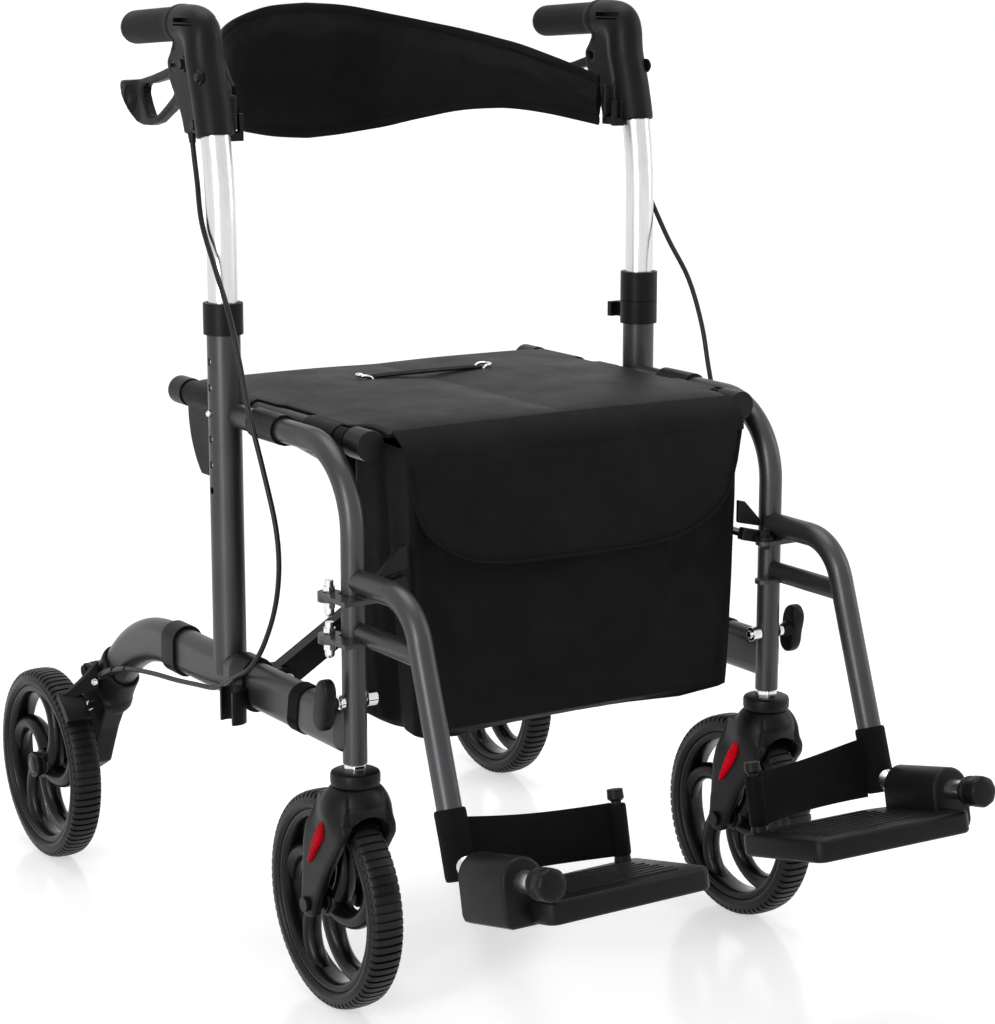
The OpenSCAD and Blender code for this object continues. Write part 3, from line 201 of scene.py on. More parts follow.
def shader_group(name, outputs, **values):
    """A group with a Vector input, an input for each value, and number outputs."""
    tree = bpy.data.node_groups.new(name, "ShaderNodeTree")
    tree.interface.new_socket("Vector", in_out="INPUT", socket_type="NodeSocketVector")
    for label, value in values.items():
        socket = tree.interface.new_socket(label, in_out="INPUT", socket_type="NodeSocketFloat")
        socket.default_value = value
    for label in outputs:
        tree.interface.new_socket(label, in_out="OUTPUT", socket_type="NodeSocketFloat")
    return tree, tree.nodes.new("NodeGroupInput").outputs, tree.nodes.new("NodeGroupOutput").inputs


def finish_group(tree, out, **values):
    for label, socket in values.items():
        tree.links.new(socket, out[label])
    return tree


def ranged(tree, value, low, high, to_low, to_high):
    return node(tree, "ShaderNodeMapRange", {"Value": value, "From Min": low, "From Max": high,
                                            "To Min": to_low, "To Max": to_high}).outputs[0]


def clouds(tree, where, scale, detail, roughness=0.5):
    return node(tree, "ShaderNodeTexNoise", {"Vector": where, "Scale": scale, "Detail": detail,
                                            "Roughness": roughness}).outputs[0]


def cells(tree, given, **settings):
    """Distance inside the cells of a Voronoi pattern."""
    inputs = {"Vector": given["Vector"], "Scale": given["Scale"]}
    return node(tree, "ShaderNodeTexVoronoi", inputs, **settings).outputs["Distance"]


def mould_grain():
    """Fine spark-eroded pits of a moulding, with slow changes of tone."""
    tree, given, out = shader_group("mould_grain", GRAIN, Scale=900.0)
    fine = clouds(tree, given["Vector"], given["Scale"], 2.0)
    pits = sums(tree, "MULTIPLY", cells(tree, given), 0.7)
    tone = clouds(tree, given["Vector"], 19.0, 4.0)
    return finish_group(tree, out, Height=sums(tree, "ADD", fine, pits), Shade=tone)


def hand_marks():
    """Uneven gloss where a surface is touched and wiped."""
    tree, given, out = shader_group("hand_marks", ("Roughness",), Size=22.0, Rough=0.4, Spread=0.08)
    smears = clouds(tree, given["Vector"], given["Size"], 6.0, 0.62)
    low = sums(tree, "SUBTRACT", given["Rough"], given["Spread"])
    high = sums(tree, "ADD", given["Rough"], given["Spread"])
    return finish_group(tree, out, Roughness=ranged(tree, smears, 0.32, 0.68, low, high))


def woven_threads():
    """Plain weave: threads pass over and under each other."""
    tree, given, out = shader_group("woven_threads", GRAIN, Scale=5200.0)
    axes = node(tree, "ShaderNodeSeparateXYZ", {"Vector": given["Vector"]}).outputs
    along = sums(tree, "MULTIPLY", sums(tree, "ADD", axes[0], axes[1]), given["Scale"])
    rise = sums(tree, "ADD", axes[2], sums(tree, "MULTIPLY", axes[1], 0.6))
    up = sums(tree, "MULTIPLY", rise, given["Scale"])
    warp, weft = sums(tree, "SINE", along), sums(tree, "SINE", up)
    over = sums(tree, "GREATER_THAN", sums(tree, "MULTIPLY", warp, weft), 0.0)
    lifted = sums(tree, "MULTIPLY", sums(tree, "ABSOLUTE", warp), over)
    sunk = sums(tree, "MULTIPLY", sums(tree, "ABSOLUTE", weft), sums(tree, "SUBTRACT", 1.0, over))
    fibre = clouds(tree, given["Vector"], 46.0, 5.0)
    return finish_group(tree, out, Height=sums(tree, "ADD", lifted, sunk), Shade=fibre)


def vinyl_grain():
    """Pebbled grain of coated seat cloth, with soft creases."""
    tree, given, out = shader_group("vinyl_grain", GRAIN, Scale=620.0)
    valley = ranged(tree, cells(tree, given, feature="DISTANCE_TO_EDGE"), 0.0, 0.22, 0.0, 1.0)
    slow = clouds(tree, given["Vector"], 9.0, 5.0, 0.55)
    height = sums(tree, "ADD", valley, sums(tree, "MULTIPLY", slow, 3.0))
    return finish_group(tree, out, Height=height, Shade=slow)


def drawn_lines():
    """Faint lines that drawing and polishing leave along a tube."""
    tree, given, out = shader_group("drawn_lines", GRAIN, Scale=1.0)
    stretch = {"Vector": given["Vector"], "Scale": (900.0, 900.0, 14.0)}
    line = clouds(tree, node(tree, "ShaderNodeMapping", stretch).outputs[0], given["Scale"], 3.0)
    return finish_group(tree, out, Height=line, Shade=line)


def worn_edges():
    """A mask of rubbed corners, broken up by noise."""
    tree, given, out = shader_group("worn_edges", ("Wear",), Sharpness=0.5)
    corner = ranged(tree, given["Sharpness"], 0.53, 0.62, 0.0, 1.0)
    patch = ranged(tree, clouds(tree, given["Vector"], 60.0, 5.0), 0.4, 0.65, 0.1, 1.0)
    return finish_group(tree, out, Wear=sums(tree, "MULTIPLY", corner, patch))


EFFECTS = (mould_grain, hand_marks, woven_threads, vinyl_grain, drawn_lines, worn_edges)
GROUPS = {make.__name__: make() for make in EFFECTS}


def shared_effect(tree, name, where, **values):
    """One of the shared groups in a material, with its numbers set."""
    made = node(tree, "ShaderNodeGroup", values, node_tree=GROUPS[name])
    tree.links.new(where, made.inputs["Vector"])
    return made


def mixed_colour(tree, share, a, b):
    return node(tree, "ShaderNodeMix", {0: share, 6: a, 7: b}, data_type="RGBA").outputs[2]


def surface(name, colour, texture, scale, depth, rough, spread, tint, worn=None, specular=0.5, metallic=0.0):
    """A material: colour that drifts by tint, a texture raised by depth in metres, and uneven gloss."""
    made = bpy.data.materials.new(name)
    made.use_nodes = True
    tree = made.node_tree
    tree.nodes.clear()
    where = node(tree, "ShaderNodeTexCoord").outputs["Object"]
    grain = shared_effect(tree, texture, where, Scale=scale)
    marks = shared_effect(tree, "hand_marks", where, Rough=rough, Spread=spread)
    dark = [c * (1 - tint) for c in colour] + [1]
    pale = [c * (1 + tint) for c in colour] + [1]
    drift = ranged(tree, grain.outputs["Shade"], 0.3, 0.7, 0.0, 1.0)
    shown = mixed_colour(tree, drift, dark, pale)
    if worn:
        sharp = node(tree, "ShaderNodeNewGeometry").outputs["Pointiness"]
        rub = shared_effect(tree, "worn_edges", where, Sharpness=sharp)
        shown = mixed_colour(tree, rub.outputs["Wear"], shown, list(worn) + [1])
    relief = {"Strength": 1.0, "Distance": depth, "Height": grain.outputs["Height"]}
    bump = node(tree, "ShaderNodeBump", relief)
    shader = node(tree, "ShaderNodeBsdfPrincipled", {
        "Base Color": shown, "Roughness": marks.outputs["Roughness"], "Normal": bump.outputs[0],
        "Specular IOR Level": specular, "Metallic": metallic})
    node(tree, "ShaderNodeOutputMaterial", {"Surface": shader.outputs[0]})
    return made


def grey(v):
    return (v, v, v)


# Name, colour, texture, its scale and depth, roughness and its spread, tint
PAINT = surface("graphite_paint", (0.05, 0.051, 0.053), "mould_grain", 2600, 2e-5, 0.36, 0.04, 0.1,
                metallic=0.6)
BRACE = surface("black_paint", grey(0.005), "mould_grain", 2600, 2e-5, 0.38, 0.06, 0.15, specular=0.18)
PLASTIC = surface("moulded_black", grey(0.0045), "mould_grain", 1500, 6e-5, 0.42, 0.07, 0.2,
                  worn=grey(0.012), specular=0.14)
RIM = surface("wheel_plastic", grey(0.003), "mould_grain", 1300, 3e-5, 0.27, 0.06, 0.2, specular=0.18)
RUBBER = surface("grip_rubber", grey(0.006), "mould_grain", 1900, 1e-4, 0.54, 0.06, 0.2, specular=0.1)
TYRE = surface("tyre_rubber", grey(0.006), "mould_grain", 900, 6e-5, 0.4, 0.09, 0.25, specular=0.2)
CHROME = surface("plated_chrome", (0.68, 0.68, 0.7), "drawn_lines", 0.6, 4e-6, 0.13, 0.05, 0.05, metallic=1.0)
SILVER = surface("anodised_silver", (0.66, 0.665, 0.66), "drawn_lines", 1.0, 6e-6, 0.24, 0.05, 0.06,
                 metallic=1.0)
SHEATH = surface("cable_sheath", grey(0.005), "mould_grain", 2200, 3e-5, 0.36, 0.06, 0.15, specular=0.26)
WEBBING = surface("strap_webbing", grey(0.0035), "woven_threads", 3400, 3e-4, 0.7, 0.06, 0.3, specular=0.08)
VINYL = surface("seat_vinyl", grey(0.0075), "vinyl_grain", 620, 7e-5, 0.5, 0.05, 0.1, specular=0.09)
CLOTH = surface("bag_cloth", grey(0.0032), "woven_threads", 6200, 1.4e-4, 0.6, 0.06, 0.3, specular=0.09)
BACK = surface("back_cloth", grey(0.0036), "woven_threads", 5200, 1.4e-4, 0.6, 0.06, 0.25, specular=0.1)
LENS = surface("red_reflector", (0.55, 0.0, 0.008), "vinyl_grain", 330, 6e-4, 0.3, 0.03, 0.75, specular=0.02)


# Making pieces

def piece(name, bm, material, body=None, nodes=(), side=1, smooth=38):
    """Turns a bmesh into a named object, closed where a cut left it open, mirrored for the right side."""
    gaps = [e for e in bm.edges if e.is_boundary]
    if gaps:
        bmesh.ops.holes_fill(bm, edges=gaps)
        bmesh.ops.recalc_face_normals(bm, faces=bm.faces)
    if side < 0:
        bmesh.ops.scale(bm, vec=(-1, 1, 1), verts=bm.verts)
        bmesh.ops.reverse_faces(bm, faces=bm.faces)
    mesh = bpy.data.meshes.new(name)
    bm.to_mesh(mesh)
    bm.free()
    if "custom_normal" in mesh.attributes:
        mesh.attributes.remove(mesh.attributes["custom_normal"])
    for finish in material if isinstance(material, tuple) else (material,):
        mesh.materials.append(finish)
    mesh.shade_smooth()
    mesh.set_sharp_from_angle(angle=math.radians(smooth))
    made = bpy.data.objects.new(name, mesh)
    scene.collection.objects.link(made)
    if body:
        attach(made, body)
    if nodes:
        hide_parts(*nodes)
    return made


def rounded(made, width):
    """Rounds a piece's sharp edges by a width in millimetres."""
    bevel = made.modifiers.new("rounded_edges", "BEVEL")
    bevel.width = width * MM
    bevel.segments = 2
    bevel.limit_method = "ANGLE"
    bevel.angle_limit = math.radians(35)
    bevel.harden_normals = True


def cad_copy(name):
    """A CAD node's mesh, welded, with its flat faces joined."""
    bm = bmesh.new()
    bm.from_mesh(frame["nodes"][name].data)
    bmesh.ops.remove_doubles(bm, verts=bm.verts, dist=2e-6)
    bmesh.ops.dissolve_limit(bm, angle_limit=math.radians(0.4), verts=bm.verts, edges=bm.edges)
    return bm


def work_object(bm):
    """A scratch object that takes over a bmesh."""
    mesh = bpy.data.meshes.new("work")
    bm.to_mesh(mesh)
    bm.free()
    work = bpy.data.objects.new("work", mesh)
    scene.collection.objects.link(work)
    return work


def drop(work):
    mesh = work.data
    bpy.data.objects.remove(work)
    bpy.data.meshes.remove(mesh)


def result_of(work):
    """What a scratch object's modifiers make, as a new bmesh."""
    graph = bpy.context.evaluated_depsgraph_get()
    result = bmesh.new()
    result.from_mesh(work.evaluated_get(graph).to_mesh())
    drop(work)
    return result


def evaluated(bm, kind, **settings):
    """Runs a modifier on a bmesh and returns the result as a new one."""
    work = work_object(bm)
    step = work.modifiers.new(kind.lower(), kind)
    for key, value in settings.items():
        setattr(step, key, value)
    return result_of(work)


def melted(bm, voxel, rounds):
    """A closed form remeshed in voxels of that many millimetres, then smoothed."""
    bm = evaluated(bm, "REMESH", mode="VOXEL", voxel_size=voxel * MM, use_smooth_shade=True)
    for _ in range(rounds):
        bmesh.ops.smooth_vert(bm, verts=bm.verts, factor=0.5,
                              use_axis_x=True, use_axis_y=True, use_axis_z=True)
    return bm


def moulded(name, voxel, rounds, reshape=None):
    """A CAD node with its edges melted into soft mouldings; reshape moves points given in millimetres."""
    bm = melted(cad_copy(name), voxel, rounds)
    if reshape:
        for v in bm.verts:
            x, y, z = v.co / MM
            v.co = at(*reshape(x, y + Y_MID, z))
    return bm


def axes_at(point, along, side=ACROSS):
    """A frame at a point whose Z runs along a path and whose X keeps to a side."""
    z = along.normalized()
    x = (side - z * side.dot(z)).normalized()
    y = z.cross(x)
    turn = Matrix((x, y, z)).transposed().to_4x4()
    return Matrix.Translation(point) @ turn


def bridged(bm, rings):
    """Joins rings of points into a skin, and returns each ring's edges."""
    loops = [edges_of(ring) for ring in rings]
    for a, b in zip(loops, loops[1:]):
        bmesh.ops.bridge_loops(bm, edges=a + b)
    return loops


def skinned(bm, rings, caps=True):
    """Rings of points joined into a skin with closed ends."""
    loops = bridged(bm, rings)
    if caps:
        for loop in (loops[0], loops[-1]):
            bmesh.ops.edgeloop_fill(bm, edges=loop)
    bmesh.ops.recalc_face_normals(bm, faces=bm.faces)


def swept(bm, stations, sides, side=ACROSS, caps=True):
    """Rings of (point, direction, half width, half height), bridged into a skin."""
    rings = []
    for point, along, wide, tall in stations:
        place = axes_at(point, along, side) @ Matrix.Diagonal((wide * MM, tall * MM, 1, 1))
        rings.append(bmesh.ops.create_circle(bm, radius=1, segments=sides, matrix=place)["verts"])
    skinned(bm, rings, caps)


def turned(bm, points, centre, axis, steps, closed=False):
    """A profile of points turned round an axis; a closed one joins its last point to its first."""
    verts = [bm.verts.new(p) for p in points]
    pairs = zip(verts, verts[1:] + verts[:1]) if closed else zip(verts, verts[1:])
    edges = [bm.edges.new(p) for p in pairs]
    bmesh.ops.spin(bm, geom=verts + edges, cent=centre, axis=axis, angle=2 * math.pi, steps=steps,
                   use_merge=True)


def spun(bm, centre, profile, steps, closed=True):
    """A profile of (offset along X, radius) in millimetres, turned round an axle."""
    turned(bm, [centre + Vector((x, 0, r)) * MM for x, r in profile], centre, ACROSS, steps, closed)
    bmesh.ops.remove_doubles(bm, verts=bm.verts, dist=1e-6)
    bmesh.ops.recalc_face_normals(bm, faces=bm.faces)


def verts_of(geom):
    return [g for g in geom if isinstance(g, bmesh.types.BMVert)]


def raised(bm, faces):
    """Extrudes faces out of a skin, and returns the new faces and points."""
    grown = bmesh.ops.extrude_face_region(bm, geom=faces)["geom"]
    bmesh.ops.delete(bm, geom=faces, context="FACES_ONLY")
    return [g for g in grown if isinstance(g, bmesh.types.BMFace)], verts_of(grown)


def prism(bm, outline, lift):
    """A closed prism from a flat outline, moved by lift, both in millimetres in the part's frame."""
    face = bm.faces.new([bm.verts.new(p * MM) for p in outline])
    tops = verts_of(bmesh.ops.extrude_face_region(bm, geom=[face])["geom"])
    bmesh.ops.translate(bm, verts=tops, vec=lift * MM)
    bmesh.ops.recalc_face_normals(bm, faces=bm.faces)
    return tops


def block(bm, place, x, y, z):
    """A box of those sizes in millimetres, and its points."""
    sized = place @ Matrix.Diagonal((x * MM, y * MM, z * MM, 1))
    return bmesh.ops.create_cube(bm, size=1, matrix=sized)["verts"]


def ease_edges(bm, edges, width, segments=3):
    bmesh.ops.bevel(bm, geom=edges, offset=width * MM, segments=segments, profile=0.5, affect="EDGES",
                    material=-1, clamp_overlap=True)


def edges_of(verts):
    """The edges at some points, each once."""
    return list({e for v in verts for e in v.link_edges})


def mirrored_profile(half):
    return half + [(-x, r) for x, r in reversed(half) if x != 0]


def rod(bm, a, b, radius, sides=20, tip=None):
    """A round bar between two points."""
    along = b - a
    place = axes_at((a + b) / 2, along, Vector((0.3, 0.2, 0.9)).normalized())
    bmesh.ops.create_cone(bm, cap_ends=True, segments=sides, radius1=radius * MM,
                          radius2=(radius if tip is None else tip) * MM, depth=along.length, matrix=place)


def eased(points, steps):
    """Points of a smooth curve through the given ones."""
    ends = [2 * points[0] - points[1]] + list(points) + [2 * points[-1] - points[-2]]
    path = []
    for a, b, c, d in zip(ends, ends[1:], ends[2:], ends[3:]):
        for i in range(steps):
            t = i / steps
            bend = (2 * a - 5 * b + 4 * c - d) * t * t
            path.append(0.5 * (2 * b + (c - a) * t + bend + (3 * b - a - 3 * c + d) * t ** 3))
    return path + [points[-1]]


def wire(bm, path, radius, sides):
    """A round wire along a path, its rings carried on without twist."""
    side = ACROSS
    rings = []
    for i, point in enumerate(path):
        along = (path[min(i + 1, len(path) - 1)] - path[max(i - 1, 0)]).normalized()
        square = side - along * side.dot(along)
        side = square.normalized() if square.length > 1e-4 else side
        place = axes_at(point, along, side)
        rings.append(bmesh.ops.create_circle(bm, radius=radius * MM, segments=sides, matrix=place)["verts"])
    skinned(bm, rings)


def slab(bm, place, across, along):
    """A closed sheet: place(u, v, top) gives the point for u and v from -1 to 1 on each face."""
    grid = bmesh.ops.create_grid(bm, x_segments=across, y_segments=along, size=1)["verts"]
    faces = list({f for v in grid for f in v.link_faces})
    lifted = verts_of(bmesh.ops.extrude_face_region(bm, geom=faces)["geom"])
    for v in grid:
        v.co = place(v.co.x, v.co.y, False)
    for v in lifted:
        v.co = place(v.co.x, v.co.y, True)
    bmesh.ops.recalc_face_normals(bm, faces=bm.faces)


def puffed(bm, cap, pressure, held, weight=0.0, frames=20):
    """Fills a skin as cloth under pressure; no point moves further than cap millimetres."""
    work = work_object(bm)
    points = work.data.vertices
    start = [v.co.copy() for v in points]
    cloth = work.modifiers.new("cloth", "CLOTH")
    cloth.settings.quality = 6
    cloth.settings.mass = 0.25
    cloth.settings.tension_stiffness = 25
    cloth.settings.compression_stiffness = 25
    cloth.settings.shear_stiffness = 12
    cloth.settings.bending_stiffness = 0.6
    cloth.settings.use_pressure = True
    cloth.settings.uniform_pressure_force = pressure
    cloth.settings.effector_weights.gravity = weight
    cloth.collision_settings.use_collision = False
    grip = work.vertex_groups.new(name="held")
    grip.add([v.index for v in points if held(v.co / MM)], 1.0, "REPLACE")
    cloth.settings.vertex_group_mass = "held"
    cloth.point_cache.frame_start = 1
    cloth.point_cache.frame_end = frames
    for step in range(1, frames + 1):
        scene.frame_set(step)
    result = result_of(work)
    for v, rest in zip(result.verts, start):
        move = v.co - rest
        if move.length > cap * MM:
            v.co = rest + move.normalized() * cap * MM
    scene.frame_set(1)
    return result


def refined(made):
    smooth = made.modifiers.new("smooth_skin", "SUBSURF")
    smooth.levels = 1
    smooth.render_levels = 1


# Frame tubes keep their CAD form

TUBE_FINISHES = {"lower_tube": PAINT, "upright": PAINT, "front_tube": PAINT, "footrest_tube": PAINT,
                 "handle_tube": SILVER}
LOWER_R, LOWER_FLAT = 12.9, 9.5  # the lower tube's section: half rounds, each this far from its middle
END_PLUG, END_TAPER = (5.5, 4.0), (-3.0, 8.6)  # y and depth of the plug and of the taper to the post
END_NARROW = 0.6


def tube_end():
    """Front end of a lower tube, tapered towards the post that it is welded to."""
    bm = bmesh.new()
    outline = []
    for turn in range(0, 360, 12):
        a = math.radians(turn)
        z = LOWER_Z + math.copysign(LOWER_FLAT, math.sin(a) + 1e-6) + LOWER_R * math.sin(a)
        outline.append((TRACK + LOWER_R * math.cos(a), z))
    for y, depth in (END_PLUG, END_TAPER):
        prism(bm, [Vector((x, y - Y_MID, z)) for x, z in outline], Vector((0, depth, 0)))
    front = at(0, END_TAPER[0] + 1, 0).y
    for v in bm.verts:
        if v.co.y < front:
            v.co.x = (POST + END_NARROW * (v.co.x / MM - TRACK)) * MM
    return bm


def dress_tubes():
    for kind, finish in TUBE_FINISHES.items():
        for side, _ in SIDES:
            name = f"{kind}_{side}"
            tube = piece(name + "_made", cad_copy(name), finish, BODY_OF[name], [name],
                         smooth=32)
            tube.modifiers.new("even_shading", "WEIGHTED_NORMAL").keep_sharp = True
    for side, s in SIDES:
        lower = f"lower_tube_{side}"
        piece(f"welded_tube_end_{side}", tube_end(), PAINT, BODY_OF[lower], (), s)


STRAP_Y, STRAP_HALF, STRAP_LEAN = 80, 9, 0.16


def tube_strap():
    """Webbing looped round the lower tube."""
    bm = bmesh.new()

    def loop(u, v, top):
        grow = 1.4 if top else 0.3
        spot = round_box((u + 1) / 2, 13 + grow, 22.5 + grow, LOWER_R + grow)
        return at(TRACK + spot.x, STRAP_Y + STRAP_HALF * v - STRAP_LEAN * spot.y, LOWER_Z + spot.y)

    slab(bm, loop, 56, 4)
    bmesh.ops.remove_doubles(bm, verts=bm.verts, dist=2e-5)
    joint = [f for f in bm.faces if all(len(e.link_faces) > 2 for e in f.edges)]
    bmesh.ops.delete(bm, geom=joint, context="FACES_ONLY")
    bmesh.ops.recalc_face_normals(bm, faces=bm.faces)
    return bm


PAIRED_FITTINGS = {  # finish, and the width that edges are broken by
    "collar": (PLASTIC, 1.6), "seat_saddles": (PLASTIC, 1.2), "tube_clamps": (PLASTIC, 1.2),
    "frame_bolts": (CHROME, 0.5), "caster_stem": (CHROME, 0.5), "release_lever": (BRACE, 0.5),
    "height_button": (CHROME, 0.3)}
SINGLE_FITTINGS = [("fold_clip", PLASTIC, 1.4), ("brace_bar_a", BRACE, 1.2), ("brace_bar_b", BRACE, 1.2),
                   ("brace_pivot", CHROME, 0.6)]
BLACK_BELOW, BLACK_BEHIND = 150, 500  # bolts at the axles and brakes are black, not chrome
RELEASE_Y, RELEASE_T = -13, 5
RELEASE_FLAG = ((48, 437), (40, 435), (19, 413), (22, 409), (48, 415))  # inwards from the post, and z


def dress_fittings():
    """Clamps, saddles, bolts and bars: CAD forms with broken edges."""
    names = [(f"{n}_{side}", *how) for n, how in PAIRED_FITTINGS.items() for side, _ in SIDES]
    rear = at(0, BLACK_BEHIND, 0).y
    for name, finish, width in names + SINGLE_FITTINGS:
        bm = cad_copy(name)
        for f in bm.faces:
            spot = f.calc_center_median()
            f.material_index = int(spot.z < BLACK_BELOW * MM or spot.y > rear)
        finishes = (finish, BRACE) if finish is CHROME else finish
        rounded(piece(name + "_made", bm, finishes, BODY_OF[name], [name]), width)
    for side, s in SIDES:
        bm = bmesh.new()
        lean = Matrix.Rotation(math.radians(14), 4, "Y")
        block(bm, Matrix.Translation(at(POST - 27, RELEASE_Y, 400)) @ lean, 38, 9, 12)
        flag = [Vector((POST - x, RELEASE_Y - Y_MID, z)) for x, z in RELEASE_FLAG]
        prism(bm, flag, Vector((0, RELEASE_T, 0)))
        body = BODY_OF[f"release_lever_{side}"]
        rounded(piece(f"release_flag_{side}", bm, BRACE, body, (), s), 1.2)
        piece(f"tube_strap_{side}", tube_strap(), WEBBING, f"{side}_frame", (), s, 60)


# Wheels

RIBS = 80
RIB_STEPS = 3  # faces round the tyre for each rib, of which the first is sunk
TREAD_FROM, GROOVE = 96.0, 2.3
# Profiles are lists of (offset along the axle, radius), as far as the middle where they are symmetrical
TYRE_HALF = [(-13.4, 84.7), (-15.4, 86.6), (-16.4, 88.2), (-16.5, 91.0), (-15.6, 91.9), (-15.4, 95.2),
             (-14.4, 98.2), (-12.0, 100.2), (-7.0, 101.3), (0.0, 101.6)]
BAND_HALF = [(-12.8, 84.5), (-13.6, 82.6), (-13.3, 80.9), (-12.4, 80.2), (-12.0, 78.4), (-9.0, 76.6),
             (0.0, 75.6)]
HUB_HALF = [(-15.0, 4.2), (-15.0, 10.6), (-14.2, 11.8), (-11.8, 12.4), (-11.0, 15.0), (-9.4, 16.0),
            (0.0, 16.2)]
HUB_CAP = [(-4.6, 13.6), (-1.0, 13.8), (0.6, 13.0), (0.8, 11.6), (-0.2, 10.8), (1.0, 9.6), (2.2, 6.0),
           (2.6, 0.0)]
SPOKES, SPOKE_STEPS, SPOKE_ARC = 5, 14, 46.4


def tyre(centre):
    bm = bmesh.new()
    spun(bm, centre, mirrored_profile(TYRE_HALF), RIBS * RIB_STEPS)
    step = 2 * math.pi / (RIBS * RIB_STEPS)
    grooves = []
    for f in bm.faces:
        arm = f.calc_center_median() - centre
        reach = math.hypot(arm.y, arm.z) / MM
        turn = math.atan2(arm.y, arm.z) % (2 * math.pi)
        if reach > TREAD_FROM and int(turn / step) % RIB_STEPS == 0:
            grooves.append(f)
    for v in raised(bm, grooves)[1]:
        arm = v.co - centre
        reach = math.hypot(arm.y, arm.z)
        scale = 1 - GROOVE * MM / reach
        v.co = centre + Vector((arm.x, arm.y * scale, arm.z * scale))
    return bm


def spoked_rim(centre):
    """Band, hub and curved spokes that swell towards hub and band."""
    bm = bmesh.new()
    spun(bm, centre, mirrored_profile(BAND_HALF), 96)
    spun(bm, centre, mirrored_profile(HUB_HALF), 48)
    for k in range(SPOKES):
        turn = Matrix.Rotation(math.radians(360 / SPOKES * k), 4, "X")
        stations = []
        for i in range(SPOKE_STEPS + 1):
            t = i / SPOKE_STEPS
            angle = math.radians(163 - 131 * t)
            u = SPOKE_ARC * 0.94 + SPOKE_ARC * math.cos(angle)
            v = SPOKE_ARC * math.sin(angle)
            wide = 9.2 + 2.4 * (2 * t - 1) ** 2
            tall = 7.4 + 2.6 * (1 - t) ** 2 + 4.0 * t ** 3
            spot = turn @ (Vector((0, v, -u)) * MM)
            along = turn.to_3x3() @ Vector((0, -math.cos(angle), -math.sin(angle)))
            stations.append((centre + spot, along, wide, tall))
        swept(bm, stations, 18)
    return bm


def build_wheels():
    for side, s in SIDES:
        for place, (x, y) in (("front", FRONT_AXLE), ("rear", REAR_AXLE)):
            centre = at(x, y, WHEEL_R)
            body = f"{side}_{place}_wheel"
            rubber = [f"{place}_tyre_{side}"]
            piece(f"ribbed_tyre_{place}_{side}", tyre(centre), TYRE, body, rubber, s, 50)
            rim = [f"{place}_rim_{side}"]
            piece(f"spoked_rim_{place}_{side}", spoked_rim(centre), RIM, body, rim, s, 42)
        cap = bmesh.new()
        spun(cap, at(REAR_AXLE[0] + 20, REAR_AXLE[1], WHEEL_R), HUB_CAP, 40, closed=False)
        piece(f"hub_cap_{side}", cap, RIM, f"{side}_rear_wheel", (), s)


# Casters

LENS_TOP, LENS_TIP = Vector((0, 4, 190)), Vector((0, 33, 143))
LENS_HALF, LENS_OUT = 7.4, 29.2
SWIVEL_Z = 221
SWIVEL_CAP = [(0, 20.5), (1.0, 22.0), (3.0, 22.6), (10.0, 22.6), (12.0, 21.8), (13.0, 20.0), (13.2, 8.0)]


def crown_shape(x, y, z):
    """Turns the fork's crown into a dome round its stem; the legs and the wheel's slot keep their place."""
    side = math.copysign(1, x)
    lean = abs(x) - POST
    turn = math.atan2(y, lean)
    deep = 35.0 if z < 204 else 26 + 9.5 * (222 - z) / 18
    box = min(30 / max(abs(math.cos(turn)), 1e-6), deep / max(abs(math.sin(turn)), 1e-6))
    dome = 33.0 if z < 195 else 33.0 * math.sqrt(max(0.1, 1 - ((z - 195) / 34) ** 2))
    pull = 1 + (dome / box - 1) * smooth_step(172, 200, z)
    leg = lean
    if abs(lean) > 18:
        leg = math.copysign(18 + (abs(lean) - 18) * max(0.25, (30 * pull - 18) / 12), lean)
    crown = smooth_step(106.8, 111, math.hypot(y - FRONT_AXLE[1], z - WHEEL_R))
    arch = 9 * max(0.0, 1 - (lean / 21) ** 2) * smooth_step(0, -24, y) * (1 - smooth_step(186, 214, z))
    return side * (POST + leg + (lean * pull - leg) * crown), y + y * (pull - 1) * crown, z + arch


def reflector(bm, out):
    """A leaf shaped lens on a leg of the fork, round at the top and pointed below."""
    length = (LENS_TIP - LENS_TOP).length
    along = (LENS_TIP - LENS_TOP).normalized()
    across = Vector((0, along.z, -along.y))
    rim = bmesh.ops.create_circle(bm, cap_ends=True, radius=1, segments=32)["verts"]
    for v in rim:
        t = 0.5 - 0.5 * v.co.y
        half = LENS_HALF * math.sqrt(max(0.0, 1 - (2 * t - 1) ** 2)) * (1 - 0.62 * t)
        spot = LENS_TOP + along * length * t + across * math.copysign(half, v.co.x)
        v.co = at(POST + out * LENS_OUT, spot.y, spot.z)
    face = rim[0].link_faces[0]
    for lift, shrink in ((3.2, 0.96), (0.9, 0.72)):
        face = raised(bm, [face])[0][0]
        middle = face.calc_center_median()
        for v in face.verts:
            v.co = middle + (v.co - middle) * shrink + Vector((out * lift * MM, 0, 0))
    bmesh.ops.recalc_face_normals(bm, faces=bm.faces)


